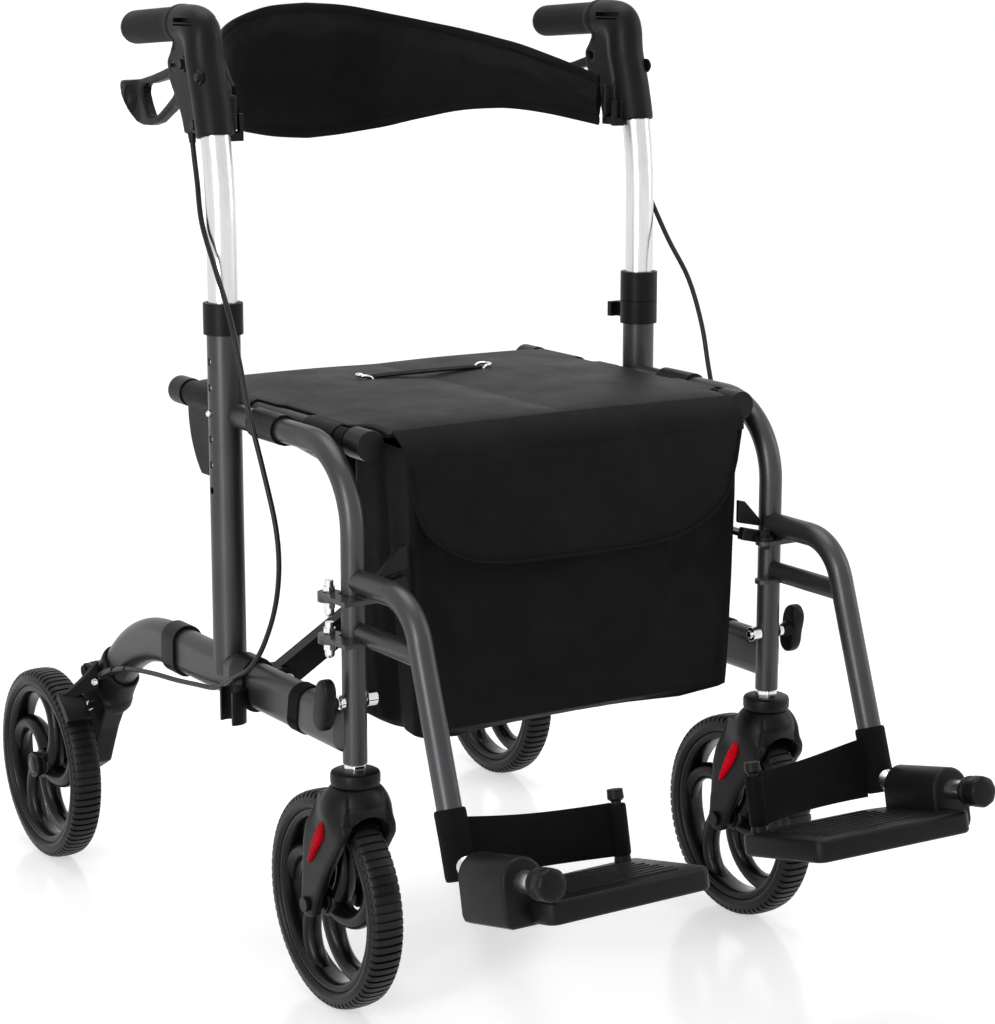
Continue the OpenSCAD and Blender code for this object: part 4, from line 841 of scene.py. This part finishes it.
def build_casters():
    for side, s in SIDES:
        name = f"caster_fork_{side}"
        crown = moulded(name, 1.7, 14, crown_shape)
        piece(f"caster_crown_{side}", crown, PLASTIC, BODY_OF[name], [name])
        cap = bmesh.new()
        base = at(POST, 0, SWIVEL_Z)
        turned(cap, [base + Vector((r, 0, h)) * MM for h, r in SWIVEL_CAP], base, (0, 0, 1), 48)
        bmesh.ops.recalc_face_normals(cap, faces=cap.faces)
        piece(f"swivel_cap_{side}", cap, PLASTIC, BODY_OF[name], (), s)
        nut = bmesh.new()
        rod(nut, at(POST, 0, 233), at(POST, 0, 240.4), 11.0, 6)
        rounded(piece(f"stem_nut_{side}", nut, CHROME, BODY_OF[f"caster_stem_{side}"], (), s), 1.0)
        for leg, out in (("outer", 1), ("inner", -1)):
            lens = bmesh.new()
            reflector(lens, out)
            piece(f"reflector_{leg}_{side}", lens, LENS, BODY_OF[name], (), s, 60)


# Handles

LEVER_PIVOT = (308.387, 846.0)  # y and z, as for the outlines below
ELBOW = (298.4, 845.0)
LEVER_HALF = 5.5
LEVER_OUTER = [(298, 854), (312, 854.5), (323, 845), (345, 839.5), (368, 834.5), (392, 830.3), (408, 829),
               (425, 828.3), (426.5, 822), (424, 813), (412, 800), (399, 788.8), (388, 786), (370, 786.6),
               (354, 790), (338, 797.5), (318, 807), (305, 806), (299, 822), (297, 846)]
LEVER_WINDOW = [(322, 835), (345, 830.5), (366, 827), (379, 826), (384.5, 823.5), (386.5, 817), (381, 806),
                (373.5, 795.4), (366, 794.8), (352, 798.5), (336, 807), (320, 816.5), (314, 822), (314, 831)]


def handle_shape(x, y, z):
    """Squares the elbow, and lets the grip droop towards its shorter end."""
    across, up = ELBOW[0] - y, z - ELBOW[1]
    if across > 0 and up > 0:
        reach = math.hypot(across, up)
        grow = ((across / reach) ** 3.6 + (up / reach) ** 3.6) ** (-1 / 3.6)
        y, z = ELBOW[0] - across * grow, ELBOW[1] + up * grow
    back = max(0.0, y - 300)
    drop = (2 - 0.05 * back) * smooth_step(850, 868, z)
    return x, y - 11 * smooth_step(10, 140, back) * smooth_step(850, 868, z), z + drop


def carved(bm, tool):
    """Cuts a closed form out of a piece."""
    cutter = work_object(tool)
    bm = evaluated(bm, "BOOLEAN", object=cutter, operation="DIFFERENCE", solver="EXACT")
    drop(cutter)
    return bm


def screw_head(bm, place, radius=4.6):
    """A socket screw on the outer side, with its washer."""
    rod(bm, place, place + Vector((1.6 * MM, 0, 0)), radius + 2.4, 24)
    rod(bm, place + Vector((1.2 * MM, 0, 0)), place + Vector((4.4 * MM, 0, 0)), radius, 24, radius - 0.8)


def finger_lever(s):
    """A loop for the fingers with a hollowed pad at its end."""
    bm = bmesh.new()
    for outline in (LEVER_OUTER, LEVER_WINDOW):
        ring = [bm.verts.new(at(s * TRACK - LEVER_HALF, y, z)) for y, z in outline]
        for pair in zip(ring, ring[1:] + ring[:1]):
            bm.edges.new(pair)
    bmesh.ops.triangle_fill(bm, use_beauty=True, use_dissolve=False, edges=bm.edges[:])
    grown = verts_of(bmesh.ops.extrude_face_region(bm, geom=bm.faces[:])["geom"])
    bmesh.ops.translate(bm, verts=grown, vec=ACROSS * 2 * LEVER_HALF * MM)
    bmesh.ops.recalc_face_normals(bm, faces=bm.faces)
    bm = melted(bm, 1.2, 6)
    for v in bm.verts:
        flare = 1 + 1.0 * smooth_step(at(0, 388, 0).y, at(0, 416, 0).y, v.co.y)
        v.co.x = s * TRACK * MM + (v.co.x - s * TRACK * MM) * flare
    cup = bmesh.new()
    place = Matrix.Translation(at(s * (TRACK + 14), 404, 811)) @ Matrix.Diagonal((12, 12, 15, 1))
    bmesh.ops.create_uvsphere(cup, u_segments=32, v_segments=20, radius=MM, matrix=place)
    return carved(bm, cup)


# Two prongs at the foot of the housing and the foot they stand on, as (x, z)
BACK_PRONGS = [(209.5, 778), (222.5, 778), (222.5, 803.5), (218.5, 803.5), (218.5, 786), (214, 786),
               (214, 803.5), (209.5, 803.5)]
PRONG_FOOT = [(211, 779), (222, 779), (222, 787), (211, 787)]
GRIP_FROM = 302  # y where the housing ends and the grip begins
GRIP_LOW = 862  # below this the housing's web runs on under the grip
GRIP_SWELL = 1.02
SLOTS = ((888.6, 4.2), (884.2, 1.6))  # z and height
HOUSING_SCREWS = ((283, 848, 10.6, 5.2), (243, 837.4, 13.4, 4.6), (260, 793, 10.6, 5.2),
                  (*LEVER_PIVOT, 8.0, 2.2))  # y, z, outwards from the upright, radius


def build_handles():
    for side, s in SIDES:
        body = f"{side}_handle"
        grip = moulded(f"handle_grip_{side}", 1.6, 7, handle_shape)
        slots = bmesh.new()
        for out in (1, -1):
            for z, tall in SLOTS:
                block(slots, Matrix.Translation(at(s * (TRACK + out * 15.5), 272, z)), 11, 33, tall)
        grip = carved(grip, slots)
        split = at(0, GRIP_FROM, 0)
        sleeve = grip.copy()
        for bm, outer in ((grip, True), (sleeve, False)):
            geom = bm.verts[:] + bm.edges[:] + bm.faces[:]
            bmesh.ops.bisect_plane(bm, geom=geom, plane_co=split, plane_no=(0, 1, 0),
                                   clear_outer=outer, clear_inner=not outer)
        housing_web = sleeve.copy()
        for bm, web in ((sleeve, True), (housing_web, False)):
            cut = [f for f in bm.faces if all(v.co.z < GRIP_LOW * MM for v in f.verts) == web]
            bmesh.ops.delete(bm, geom=cut, context="FACES")
        for v in sleeve.verts:
            back = max(0.0, v.co.y - split.y)
            middle = Vector((s * TRACK * MM, v.co.y, 0.885 - 0.05 * back))
            v.co = middle + (v.co - middle) * GRIP_SWELL
        piece(f"handle_housing_{side}", grip, PLASTIC, body, [f"handle_grip_{side}"])
        piece(f"housing_web_{side}", housing_web, PLASTIC, body)
        piece(f"grip_sleeve_{side}", sleeve, RUBBER, body)
        lever = [f"brake_lever_{side}"]
        piece(f"finger_lever_{side}", finger_lever(s), PLASTIC, f"{side}_lever", lever)
        screws = bmesh.new()
        for y, z, x, r in HOUSING_SCREWS:
            screw_head(screws, at(TRACK + x, y, z), r)
        piece(f"housing_screws_{side}", screws, BRACE, body, (), s)
        clip = bmesh.new()
        prism(clip, [Vector((x, 238 - Y_MID, z)) for x, z in BACK_PRONGS], Vector((0, 6, 0)))
        prism(clip, [Vector((x, 243 - Y_MID, z)) for x, z in PRONG_FOOT], Vector((0, 19, 0)))
        rounded(piece(f"back_clip_{side}", clip, PLASTIC, body, (), s), 0.8)


# Brake cables

# The left cable's route, from the housing past the upright and along the lower tube to the brake
CABLE = [(246, 273, 781.4), (247, 268, 766), (249, 258, 740), (255, 238, 704), (257, 208, 664),
         (260, 176, 626), (261, 154, 582), (260, 140, 540), (257, 120, 490), (253, 105, 440),
         (252, 102, 400), (252, 112, 360), (254, 132, 322), (257, 152, 298), (259, 172, 286),
         (259, 196, 275), (259, 224, 262), (259, 264, 256), (259, 310, 250), (259, 360, 245),
         (259, 410, 238), (259, 449.9, 229.2), (259, 479.9, 217.2)]
CABLE_R = 2.5


def build_cables():
    for side, s in SIDES:
        path = eased([at(*p) for p in CABLE], 5)
        bm = bmesh.new()
        wire(bm, path, CABLE_R, 10)
        cable = piece(f"cable_{side}", bm, SHEATH, None, [f"brake_cable_{side}"], s)
        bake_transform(cable)
        ends = bmesh.new()
        rod(ends, path[0] + Vector((0, 0, 4 * MM)), path[2], 4.2, 20, 3.0)
        piece(f"cable_boot_{side}", ends, PLASTIC, f"{side}_handle", (), s)
        nut = bmesh.new()
        rod(nut, path[-1], path[-5], 4.6, 6)
        rod(nut, path[-3], path[-9], 3.4, 20)
        rounded(piece(f"cable_adjuster_{side}", nut, SHEATH, f"{side}_frame", (), s), 0.5)


# Rear brackets

SHOE_IN, SHOE_OUT = 104.4, 114.1  # radii round the rear axle
BRAKE_ARM = [(503, 194), (500, 221), (517, 221.5), (526, 219), (530.5, 212), (527, 204.5), (518, 198)]
SPRING_TURNS, SPRING_STEPS = 8, 12


def brake_shoe(bm):
    """The shoe over the tyre and the arm that carries it on the brake pin."""
    turns = [math.radians(a) for a in range(124, 143, 2)]
    rings = [(SHOE_IN, turns), (SHOE_OUT, turns[::-1])]
    arc = [(REAR_AXLE[1] + r * math.cos(a), WHEEL_R + r * math.sin(a)) for r, way in rings for a in way]
    prism(bm, [Vector((272.5, y - Y_MID, z)) for y, z in arc], Vector((26, 0, 0)))
    prism(bm, [Vector((258.2, y - Y_MID, z)) for y, z in BRAKE_ARM], Vector((4.8, 0, 0)))


def brake_web(u, v, top):
    """The brake arm's face: a plate that falls from the socket to the shoe in a hollow curve."""
    x = 277.6 + 19.6 * u
    inward = max(0.0, (297.2 - x) / 39.2)
    high = 193 + 34 * inward ** 1.4
    low = 187 + 11 * inward ** 1.2
    z = low + (high - low) * (v + 1) / 2
    return at(x, 498 + 0.25 * (x - 258) + (0 if top else 6), z)


def brake_coil():
    """The return spring's line, which slopes down to the rear."""
    coil = []
    last = SPRING_TURNS * SPRING_STEPS - 1
    for i in range(last + 1):
        turn = 2 * math.pi * i / SPRING_STEPS
        t = i / last
        x = TRACK + 21 + 4.6 * math.cos(turn)
        coil.append(at(x, 516 + 34 * t + 2.4 * math.sin(turn), 176 - 16 * t + 3.68 * math.sin(turn)))
    return coil


def build_brackets():
    for side, s in SIDES:
        name = f"rear_bracket_{side}"
        piece(f"axle_bracket_{side}", moulded(name, 1.7, 6), PLASTIC, BODY_OF[name], [name])
        arm = BODY_OF[f"brake_arm_{side}"]
        bm = bmesh.new()
        brake_shoe(bm)
        rounded(piece(f"brake_shoe_{side}", bm, PLASTIC, arm, [f"brake_arm_{side}"], s), 1.2)
        bm = bmesh.new()
        slab(bm, brake_web, 20, 16)
        rounded(piece(f"brake_web_{side}", bm, PLASTIC, arm, (), s), 1.0)
        bm = bmesh.new()
        rod(bm, at(264, 499, 206), at(264, 494.5, 206), 4.0, 6)
        rod(bm, at(264, 495, 206), at(264, 491.5, 206), 2.4, 16)
        rounded(piece(f"brake_screw_{side}", bm, CHROME, arm, (), s), 0.5)
        bm = bmesh.new()
        wire(bm, brake_coil(), 0.9, 6)
        piece(f"brake_spring_{side}", bm, CHROME, f"{side}_frame", (), s)


# Footrests

# In the foot plate's own axes, in millimetres
PLATE = [(-173, -6), (-173, -121.5), (-4, -129.5), (-4, -30), (-33, -14)]
PLATE_LOW, PLATE_T = -36, 20
PLATE_RIBS, RIB_PITCH = 8, 10.6
BARREL = 20.5  # half the width of the barrel round the hinge tube
HEEL_POST = (-155, -14)
POST_STEPS = ((-17, 41, 4.5, 4.5), (-17, -11, 7.6, 7.0), (37, 39, 5.6, 7.4), (39, 47, 7.4, 7.0))
CAP_FROM = -121
CAP_PROFILE = [(0, 9.9), (0, 12.2), (2.0, 13.4), (5.0, 13.8), (7.0, 12.6), (9.0, 12.6), (11.0, 14.0),
               (20.0, 14.0), (22.5, 13.2), (24.0, 11.0), (24.6, 6.0), (24.8, 0.0)]
CAP_FLUTED = (-0.1436, -0.1315)  # metres
BAND_START, BAND_END = (-13.2, 4.0), (-149.0, -14.0)
BAND_LOOP = [(6.2, -21.6), (7.6, -22.2), (8.2, -20.0), (8.2, 20.0), (7.6, 22.2), (6.2, 21.6)]
# In the part's frame: the sleeve of the heel band on the footrest tube, and the wing nut
SLEEVE_RINGS = [(11.6, 0.0), (13.4, 0.6), (14.0, 3.0), (13.8, 30.0), (14.1, 57.0), (13.4, 60.4), (11.6, 61.0)]
TUBE_LEAN = 19.3
KNOB_Z = 298.5
KNOB_HUB = [(5.2, 18.4), (5.8, 19.2), (7.0, 22.0), (9.6, 25.4), (9.6, 30.0)]


def rise(edge):
    return abs(edge.verts[0].co.z - edge.verts[1].co.z)


def foot_plate(bm):
    """Ribbed board, barrel for the hinge tube and the heel post, in the plate's own axes."""
    prism(bm, [Vector((x, y, PLATE_LOW)) for x, y in PLATE], Vector((0, 0, PLATE_T)))
    ease_edges(bm, [e for e in bm.edges if rise(e) > 0.01], 11, 5)
    ease_edges(bm, [e for e in bm.edges if rise(e) < 1e-6 and e.calc_face_angle() > 1], 3.6)
    for i in range(PLATE_RIBS):
        rib = Matrix.Translation(Vector((-98 + 3 * (i % 2), -27 - i * RIB_PITCH, -16.2)) * MM)
        ease_edges(bm, edges_of(block(bm, rib, 112, 4.6, 2.8)), 1.1, 2)
    corner = [(BARREL, -30), (BARREL - 2, -35), (BARREL - 7, -37.5)]
    section = [(-x, z) for x, z in corner] + corner[::-1]
    arch = [math.radians(a) for a in range(0, 181, 12)]
    section += [(BARREL * math.cos(a), BARREL * math.sin(a)) for a in arch]
    end = set(prism(bm, [Vector((x, -30, z)) for x, z in section], Vector((0, -70, 0))))
    ease_edges(bm, [e for e in bm.edges if e.verts[0] in end and e.verts[1] in end], 3.5)
    post = Vector((*HEEL_POST, 0)) * MM
    for low, high, r0, r1 in POST_STEPS:
        rod(bm, post + Vector((0, 0, low * MM)), post + Vector((0, 0, high * MM)), r0, 24, r1)
    bmesh.ops.transform(bm, matrix=foot_place(), verts=bm.verts)


def foot_cap(bm):
    """Knob on the tube's end: a ribbed barrel with a domed face."""
    turned(bm, [Vector((r, CAP_FROM - d, 0)) * MM for d, r in CAP_PROFILE], (0, 0, 0), (0, 1, 0), 40)
    bmesh.ops.remove_doubles(bm, verts=bm.verts, dist=1e-6)
    bmesh.ops.recalc_face_normals(bm, faces=bm.faces)
    for v in bm.verts:
        if CAP_FLUTED[0] < v.co.y < CAP_FLUTED[1]:
            flute = 1 + 0.02 * math.cos(8 * math.atan2(v.co.z, v.co.x))
            v.co.x *= flute
            v.co.z *= flute
    bmesh.ops.transform(bm, matrix=foot_place(), verts=bm.verts)


def heel_band(bm):
    """The strap behind the heel: from the footrest tube, bowing back, to a loop on the heel post."""
    place = foot_place()

    def spot(u, v, top):
        t = (u + 1) / 2
        bow = 46 * t * (1 - t) * (1 - 0.4 * t)
        x = BAND_START[0] + (BAND_END[0] - BAND_START[0]) * t
        y = BAND_START[1] + (BAND_END[1] - BAND_START[1]) * t + bow
        half = 23.5 + 4.0 * (1 - t) ** 2 - 1.0 * math.sin(math.pi * t)
        z = 12.5 + 6.0 * (1 - t) - 1.5 * math.sin(math.pi * t) + half * v
        thick = 1.25 * (1 - 0.45 * abs(v) ** 12)
        wave = 0.7 * math.sin(7 * t + 2.5 * v)
        return place @ (Vector((x, y + (thick if top else -thick) + wave * math.sin(math.pi * t), z)) * MM)

    slab(bm, spot, 48, 14)
    post = place @ Matrix.Translation(Vector((*HEEL_POST, 11.7)) * MM)
    turned(bm, [Vector((r, 0, h)) * MM for r, h in BAND_LOOP], (0, 0, 0), (0, 0, 1), 32, closed=True)
    loop = [v for v in bm.verts if v.co.length < 0.03]  # made at the origin, then moved to the post
    bmesh.ops.transform(bm, matrix=post, verts=loop)
    lean = math.radians(TUBE_LEAN)
    down = Vector((0, -math.sin(lean), -math.cos(lean)))
    top = at(FOOT, -111.2, 374.5) + down * 0.142
    swept(bm, [(top + down * (d * MM), down, r, r) for r, d in SLEEVE_RINGS], 32, caps=False)
    bmesh.ops.recalc_face_normals(bm, faces=bm.faces)


def build_footrests():
    for side, s in SIDES:
        rest, knob_body = f"{side}_footrest", f"{side}_knob"
        plate = bmesh.new()
        foot_plate(plate)
        board = [f"foot_plate_{side}"]
        piece(f"footboard_{side}", plate, PLASTIC, f"{side}_plate", board, s)
        tube = cad_copy(f"foot_tube_{side}")
        to_plate = foot_place().inverted() @ Matrix.Scale(s, 4, ACROSS)
        caps = []
        for v in tube.verts:
            spot = to_plate @ v.co
            if spot.y < -0.1 and math.hypot(spot.x, spot.z) > 0.0096:
                caps.append(v)
        bmesh.ops.delete(tube, geom=caps, context="VERTS")
        piece(f"foot_tube_bright_{side}", tube, SILVER, rest, [f"foot_tube_{side}"])
        cap = bmesh.new()
        foot_cap(cap)
        piece(f"foot_tube_cap_{side}", cap, PLASTIC, rest, (), s)
        band = bmesh.new()
        heel_band(band)
        strap = piece(f"heel_band_{side}", band, WEBBING, None, [f"heel_strap_{side}"], s)
        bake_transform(strap)
        bolt = cad_copy(f"wing_knob_{side}")
        wings = [f for f in bolt.faces if abs(f.calc_center_median().x) > (POST + 20.5) * MM]
        bmesh.ops.delete(bolt, geom=wings, context="FACES")
        rounded(piece(f"knob_bolt_{side}", bolt, CHROME, knob_body, [f"wing_knob_{side}"]), 0.6)
        knob = bmesh.new()
        lobes = []
        for i in range(64):
            a = 2 * math.pi * i / 64
            r = 16.5 - 7.0 * math.cos(2 * a - 0.4) + 1.0 * math.cos(4 * a - 0.8)
            lobes.append(Vector((POST + 24.4, r * math.cos(a) - Y_MID, KNOB_Z + r * math.sin(a))))
        prism(knob, lobes, Vector((12, 0, 0)))
        ease_edges(knob, [e for e in knob.edges if abs(e.verts[0].co.x - e.verts[1].co.x) < 1e-6], 3.0)
        hub = [(at(POST + out, 0, KNOB_Z), ACROSS, r, r) for r, out in KNOB_HUB]
        swept(knob, hub, 32, Vector((0, 0, 1)))
        piece(f"wing_nut_{side}", knob, PLASTIC, knob_body, (), s, 50)


# Seat

SADDLES = ((121, 181), (257, 295))  # from and to, along y
SLEEVES = ((64, 121), (228, 257), (295, 366))
RAIL_CLEAR = 11.6  # radius of what is sewn round a rail, on its inside
SEAT_MID, SEAT_HALF = 194.0, 184.0  # along y
HEMS, HEM_WIDTH, HEM_DEPTH = (19.5, 368), 1.8, 1.1
EYELET = [(64, 256, 539.5), (68, 256, 542.5), (74, 258, 543.2), (76, 264, 543.2), (74, 270, 543.2),
          (68, 272, 542.5), (64, 272, 539.5)]


def seat_point(u, v, top):
    """Left half of the seat, from the middle to over its rail, clear of saddles and rail caps."""
    y = SEAT_MID + SEAT_HALF * v
    notch = max(smooth_step(a - 7, a - 1, y) - smooth_step(b + 1, b + 7, y) for a, b in SADDLES)
    edge = 205.5 - 5.2 * notch - 16.0 * (smooth_step(52, 45, y) + smooth_step(362, 368, y))
    x = 0.05 + (edge - 0.05) * (u + 1) / 2
    if top:
        return at(x, y, 536.3 + 2.6 * (1 - u * u) ** 0.8 * (1 - v ** 4) - 3.2 * abs(v) ** 24)
    under = RAIL_Z + math.sqrt(max(0.0, 11.7 ** 2 - (x - RAIL) ** 2))
    return at(x, y, max(527.0 + 2.5 * abs(v) ** 24, under))


def round_rail(middle, half, start, sweep, outside):
    """Cloth round the left seat rail, from a start angle and over a sweep in degrees."""
    def spot(u, v, top):
        angle = math.radians(start - sweep * (u + 1) / 2)
        r = outside if top else RAIL_CLEAR
        return at(RAIL + r * math.cos(angle), middle + half * v, RAIL_Z + r * math.sin(angle))
    return spot


def pull_point(u, v, top):
    """Half of the pull strap, arched over the seat."""
    x = 35.2 + 34.8 * u
    lift = 1.6 * (1 - (x / 70) ** 6)
    return at(x, 264 + 7.5 * v, 539.6 + lift + (0.9 if top else -0.9))


def build_seat():
    for side, s in SIDES:
        bm = bmesh.new()
        slab(bm, seat_point, 30, 52)
        bm = puffed(bm, 2.6, 3.0, lambda p: p.x < 3 or p.x > 186 or p.z < 530)
        for v in bm.verts:
            x, y, z = v.co / MM
            y += Y_MID
            if z > 533:
                hem = sum(math.exp(-((y - h) / HEM_WIDTH) ** 2) for h in HEMS)
                v.co.z -= HEM_DEPTH * MM * hem
                v.co.z += 0.5 * MM * noise.noise(Vector((x * 0.012, y * 0.012, 3)))
        crease_layer = bm.edges.layers.float.new("crease_edge")
        for e in bm.edges:
            e[crease_layer] = 1.0 if max(v.co.x for v in e.verts) < 0.2 * MM else 0.0
        pad = piece(f"seat_pad_{side}", bm, VINYL, f"seat_{side}", [f"seat_half_{side}"], s, 60)
        refined(pad)
        bm = bmesh.new()
        for low, high in SLEEVES:
            wrap = round_rail((low + high) / 2, (high - low) / 2, 112, 250, 12.9)
            slab(bm, wrap, 26, 8)
        piece(f"rail_sleeves_{side}", bm, VINYL, f"seat_{side}", (), s)
        bm = bmesh.new()
        slab(bm, pull_point, 24, 6)
        piece(f"pull_strap_{side}", bm, WEBBING, f"seat_{side}", (), s)
        bm = bmesh.new()
        wire(bm, eased([at(*p) for p in EYELET], 5), 1.5, 10)
        piece(f"pull_eyelet_{side}", bm, CHROME, f"seat_{side}", (), s)


# Bag

BAG_HALF, BAG_FRONT, BAG_BACK, BAG_LOW, BAG_TOP = 181.0, -12.0, 96.0, 257.0, 519.0
BAG_RING, BAG_LEVELS = 168, 46
# Each crease's two ends as x and z, its width and its depth
CREASES = [(168, 440, 60, 290, 13, 3.6), (160, 345, 30, 272, 12, 3.0), (-156, 420, -118, 285, 14, 3.2),
           (-70, 390, -25, 268, 18, 2.2), (104, 400, 150, 290, 10, -2.6), (-20, 330, 70, 262, 9, 1.8)]


def round_box(share, half_x, half_y, r):
    """The point at a share of the way round a rectangle with rounded corners."""
    runs = (2 * (half_y - r), 2 * (half_x - r))
    bend = math.pi * r / 2
    way = share * 2 * (runs[0] + runs[1] + 2 * bend)
    for k in range(4):
        a, b = (half_x, half_y) if k % 2 == 0 else (half_y, half_x)
        turn = Matrix.Rotation(math.pi / 2 * k, 2)
        if way <= runs[k % 2]:
            return turn @ Vector((a, r - b + way))
        way -= runs[k % 2]
        if way <= bend:
            return turn @ Vector((a - r + r * math.cos(way / r), b - r + r * math.sin(way / r)))
        way -= bend
    return Vector((half_x, r - half_y))


def crease(x, z, x0, z0, x1, z1, width, depth):
    """A soft ridge along a line on the bag's front."""
    a, b, p = Vector((x0, z0)), Vector((x1, z1)), Vector((x, z))
    t = min(1.0, max(0.0, (p - a).dot(b - a) / (b - a).length_squared))
    away = (p - a - (b - a) * t).length
    return depth * math.sin(math.pi * min(1.0, 0.15 + 0.85 * t)) * math.exp(-(away / width) ** 2)


def front_of_bag(x, z):
    """How far forward the bag's front lies: it bellies out low down and carries creases."""
    t = (z - BAG_LOW) / (BAG_TOP - BAG_LOW)
    belly = math.sin(math.pi * min(1.0, t * 1.25)) * (1 - t)
    folds = sum(crease(x, z, *line) for line in CREASES) * smooth_step(0.0, 0.12, t)
    return BAG_FRONT + 1.0 - 4.0 * belly - folds


def bag_point(share, z):
    """The shell at a share of the way round and a height; its sides are tucked in."""
    t = (z - BAG_LOW) / (BAG_TOP - BAG_LOW)
    middle = (BAG_FRONT + BAG_BACK) / 2
    spot = round_box(share, BAG_HALF - 1.5 * (1 - t), (BAG_BACK - BAG_FRONT) / 2, 7.0)
    y = middle + spot.y
    if spot.y < 0:
        y = middle + spot.y / (BAG_FRONT - middle) * (front_of_bag(spot.x, z) - middle)
    tuck = 7.0 * math.exp(-((y - middle) / 16) ** 2) * (0.4 + 0.6 * (1 - t))
    x = spot.x - math.copysign(tuck, spot.x) * smooth_step(150, 172, abs(spot.x))
    return at(x + 3.5, y, z)


def bag_shell():
    """Rings from the hem to the floor of the bag, closed below."""
    bm = bmesh.new()
    rings = []
    for i in range(BAG_LEVELS):
        z = BAG_LOW + (BAG_TOP - BAG_LOW) * i / (BAG_LEVELS - 1)
        ring = bmesh.ops.create_circle(bm, radius=1, segments=BAG_RING)["verts"]
        for k, v in enumerate(ring):
            v.co = bag_point(k / BAG_RING, z)
        rings.append(ring)
    low = bmesh.ops.edgeloop_fill(bm, edges=bridged(bm, rings)[0])["faces"]
    for shrink in (0.96, 0.75, 0.6, 0.5):
        low = raised(bm, low)[0]
        middle = low[0].calc_center_median()
        for v in low[0].verts:
            v.co = middle + (v.co - middle) * shrink - Vector((0, 0, 1.2 * MM))
    bmesh.ops.recalc_face_normals(bm, faces=bm.faces)
    return bm


def flap_point(u, v, top):
    """The flap: a straight hem above and sides that curve in to the lower edge."""
    x = 184 * u
    reach = abs(u)
    low = min(512.0, 409 + 22 * (reach / 0.815) ** 5 + 40 * max(0.0, (reach - 0.9) / 0.1) ** 2)
    high = 515.0
    t = (v + 1) / 2
    z = high + (low - high) * t
    thick = 1.5 * (1 - 0.5 * max(abs(u), abs(v) if v > 0 else 0.0) ** 16)
    hang = 4.2 + 3.4 * t * (1 - u * u) + 1.2 * math.sin(4 * u + 1.0) * t
    y = front_of_bag(x, z) - hang + 4.0 * smooth_step(507, 516, z)
    return at(x, y + (-thick if top else thick), z)


def header_point(u, v, top):
    """The band that carries the bag, up over the front of the seat."""
    t = (v + 1) / 2
    x = 186 * u
    y = -14.5 + 24.0 * t ** 2.2
    z = 508 + 27.5 * t ** 0.75 - 1.5 * u * u
    thick = 1.3
    return at(x, y + (-thick if top else thick) * (1 - t), z + (thick if top else -thick) * t)


def build_bag():
    shell = puffed(bag_shell(), 8.0, 0.25, lambda p: p.z > 509, weight=0.7)
    shell = evaluated(shell, "SOLIDIFY", thickness=1.6 * MM, offset=-1.0)
    parts = [("bag_shell", shell, ["bag"])]
    for name, place, along in (("bag_flap", flap_point, 34), ("bag_header", header_point, 10)):
        bm = bmesh.new()
        slab(bm, place, 60, along)
        parts.append((name, bm, []))
    for side, s in SIDES:
        bm = bmesh.new()
        slab(bm, round_rail(52, 8, 70, 320, 13.2), 32, 4)
        rail = "brace_bar_a" if s > 0 else "brace_bar_b"
        piece(f"bag_loop_{side}", bm, CLOTH, BODY_OF[rail], (), s)
    edge = [flap_point(u / 30, 1.0, True) for u in range(-30, 31)]
    side = [flap_point(1.0, v / 8, True) for v in range(7, -9, -1)]
    other = [flap_point(-1.0, v / 8, True) for v in range(-8, 8)]
    piping = bmesh.new()
    wire(piping, other + edge + side, 2.0, 8)
    parts.append(("flap_piping", piping, []))
    sewn = {}
    for name, bm, nodes in parts:
        sewn[name] = piece(name, bm, CLOTH, "bag", nodes, 1, 60)
        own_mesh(sewn[name])


# Backrest

BACK_HALF, BACK_Y, BACK_BOW = 207.0, 262.0, 238.0
PIPING = 7.5  # width of the bound edge
# Share of the half width, and z of the lower and the upper edge there
BACK_EDGES = [(0, 759, 899.5), (0.2, 762, 897), (0.34, 766.5, 891.5), (0.42, 770, 887.5), (0.54, 778, 881),
              (0.67, 786.5, 873), (0.78, 790, 863.5), (0.84, 789.5, 857), (0.9, 786.5, 847.5),
              (0.95, 782.5, 838.5), (1.0, 778, 828)]
BACK_CURVE = eased([Vector(p) for p in BACK_EDGES], 6)


def back_edges(u):
    """Lower and upper edge of the backrest at a share of its half width."""
    reach = min(abs(u), 1.0)
    for a, b in zip(BACK_CURVE, BACK_CURVE[1:]):
        if reach <= b.x:
            spot = a.lerp(b, (reach - a.x) / (b.x - a.x))
            return spot.y, spot.z
    return BACK_EDGES[-1][1:]


def back_mid(u):
    """The backrest's middle line, seen from above."""
    return Vector((BACK_HALF * u, BACK_Y + BACK_BOW * (1 - abs(u) ** 2.8), 0))


def back_out(u):
    """The way out of the backrest's rear face."""
    run = (back_mid(u + 0.01) - back_mid(u - 0.01)).normalized()
    return Vector((-run.y, run.x, 0))


def back_point(u, v, top):
    """A bound edge, a seam beside it and a padded middle."""
    low, high = back_edges(u)
    z = (low + high) / 2 + (high - low) / 2 * v
    gap = (high - low) / 2 * (1 - abs(v))
    half = 2.0 if gap >= 1.5 else 1.2
    if gap >= PIPING:
        half += 3.6 * smooth_step(8.5, 30, gap) - 0.9 * math.exp(-((gap - 9) / 1.3) ** 2)
    spot = back_mid(u) + back_out(u) * (half if top else -half)
    return at(spot.x, spot.y, z)


def build_backrest():
    bm = bmesh.new()
    slab(bm, back_point, 110, 72)
    bm = puffed(bm, 4.0, 2.0, lambda p: abs(p.x) > 203)
    pad = piece("backrest_pad", bm, BACK, "right_handle", ["backrest"], 1, 60)
    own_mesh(pad)


set_camera()
build_cables()
set_studio()
set_floor()
dress_tubes()
dress_fittings()
build_wheels()
build_casters()
build_handles()
build_brackets()
build_footrests()
build_seat()
build_bag()
build_backrest()
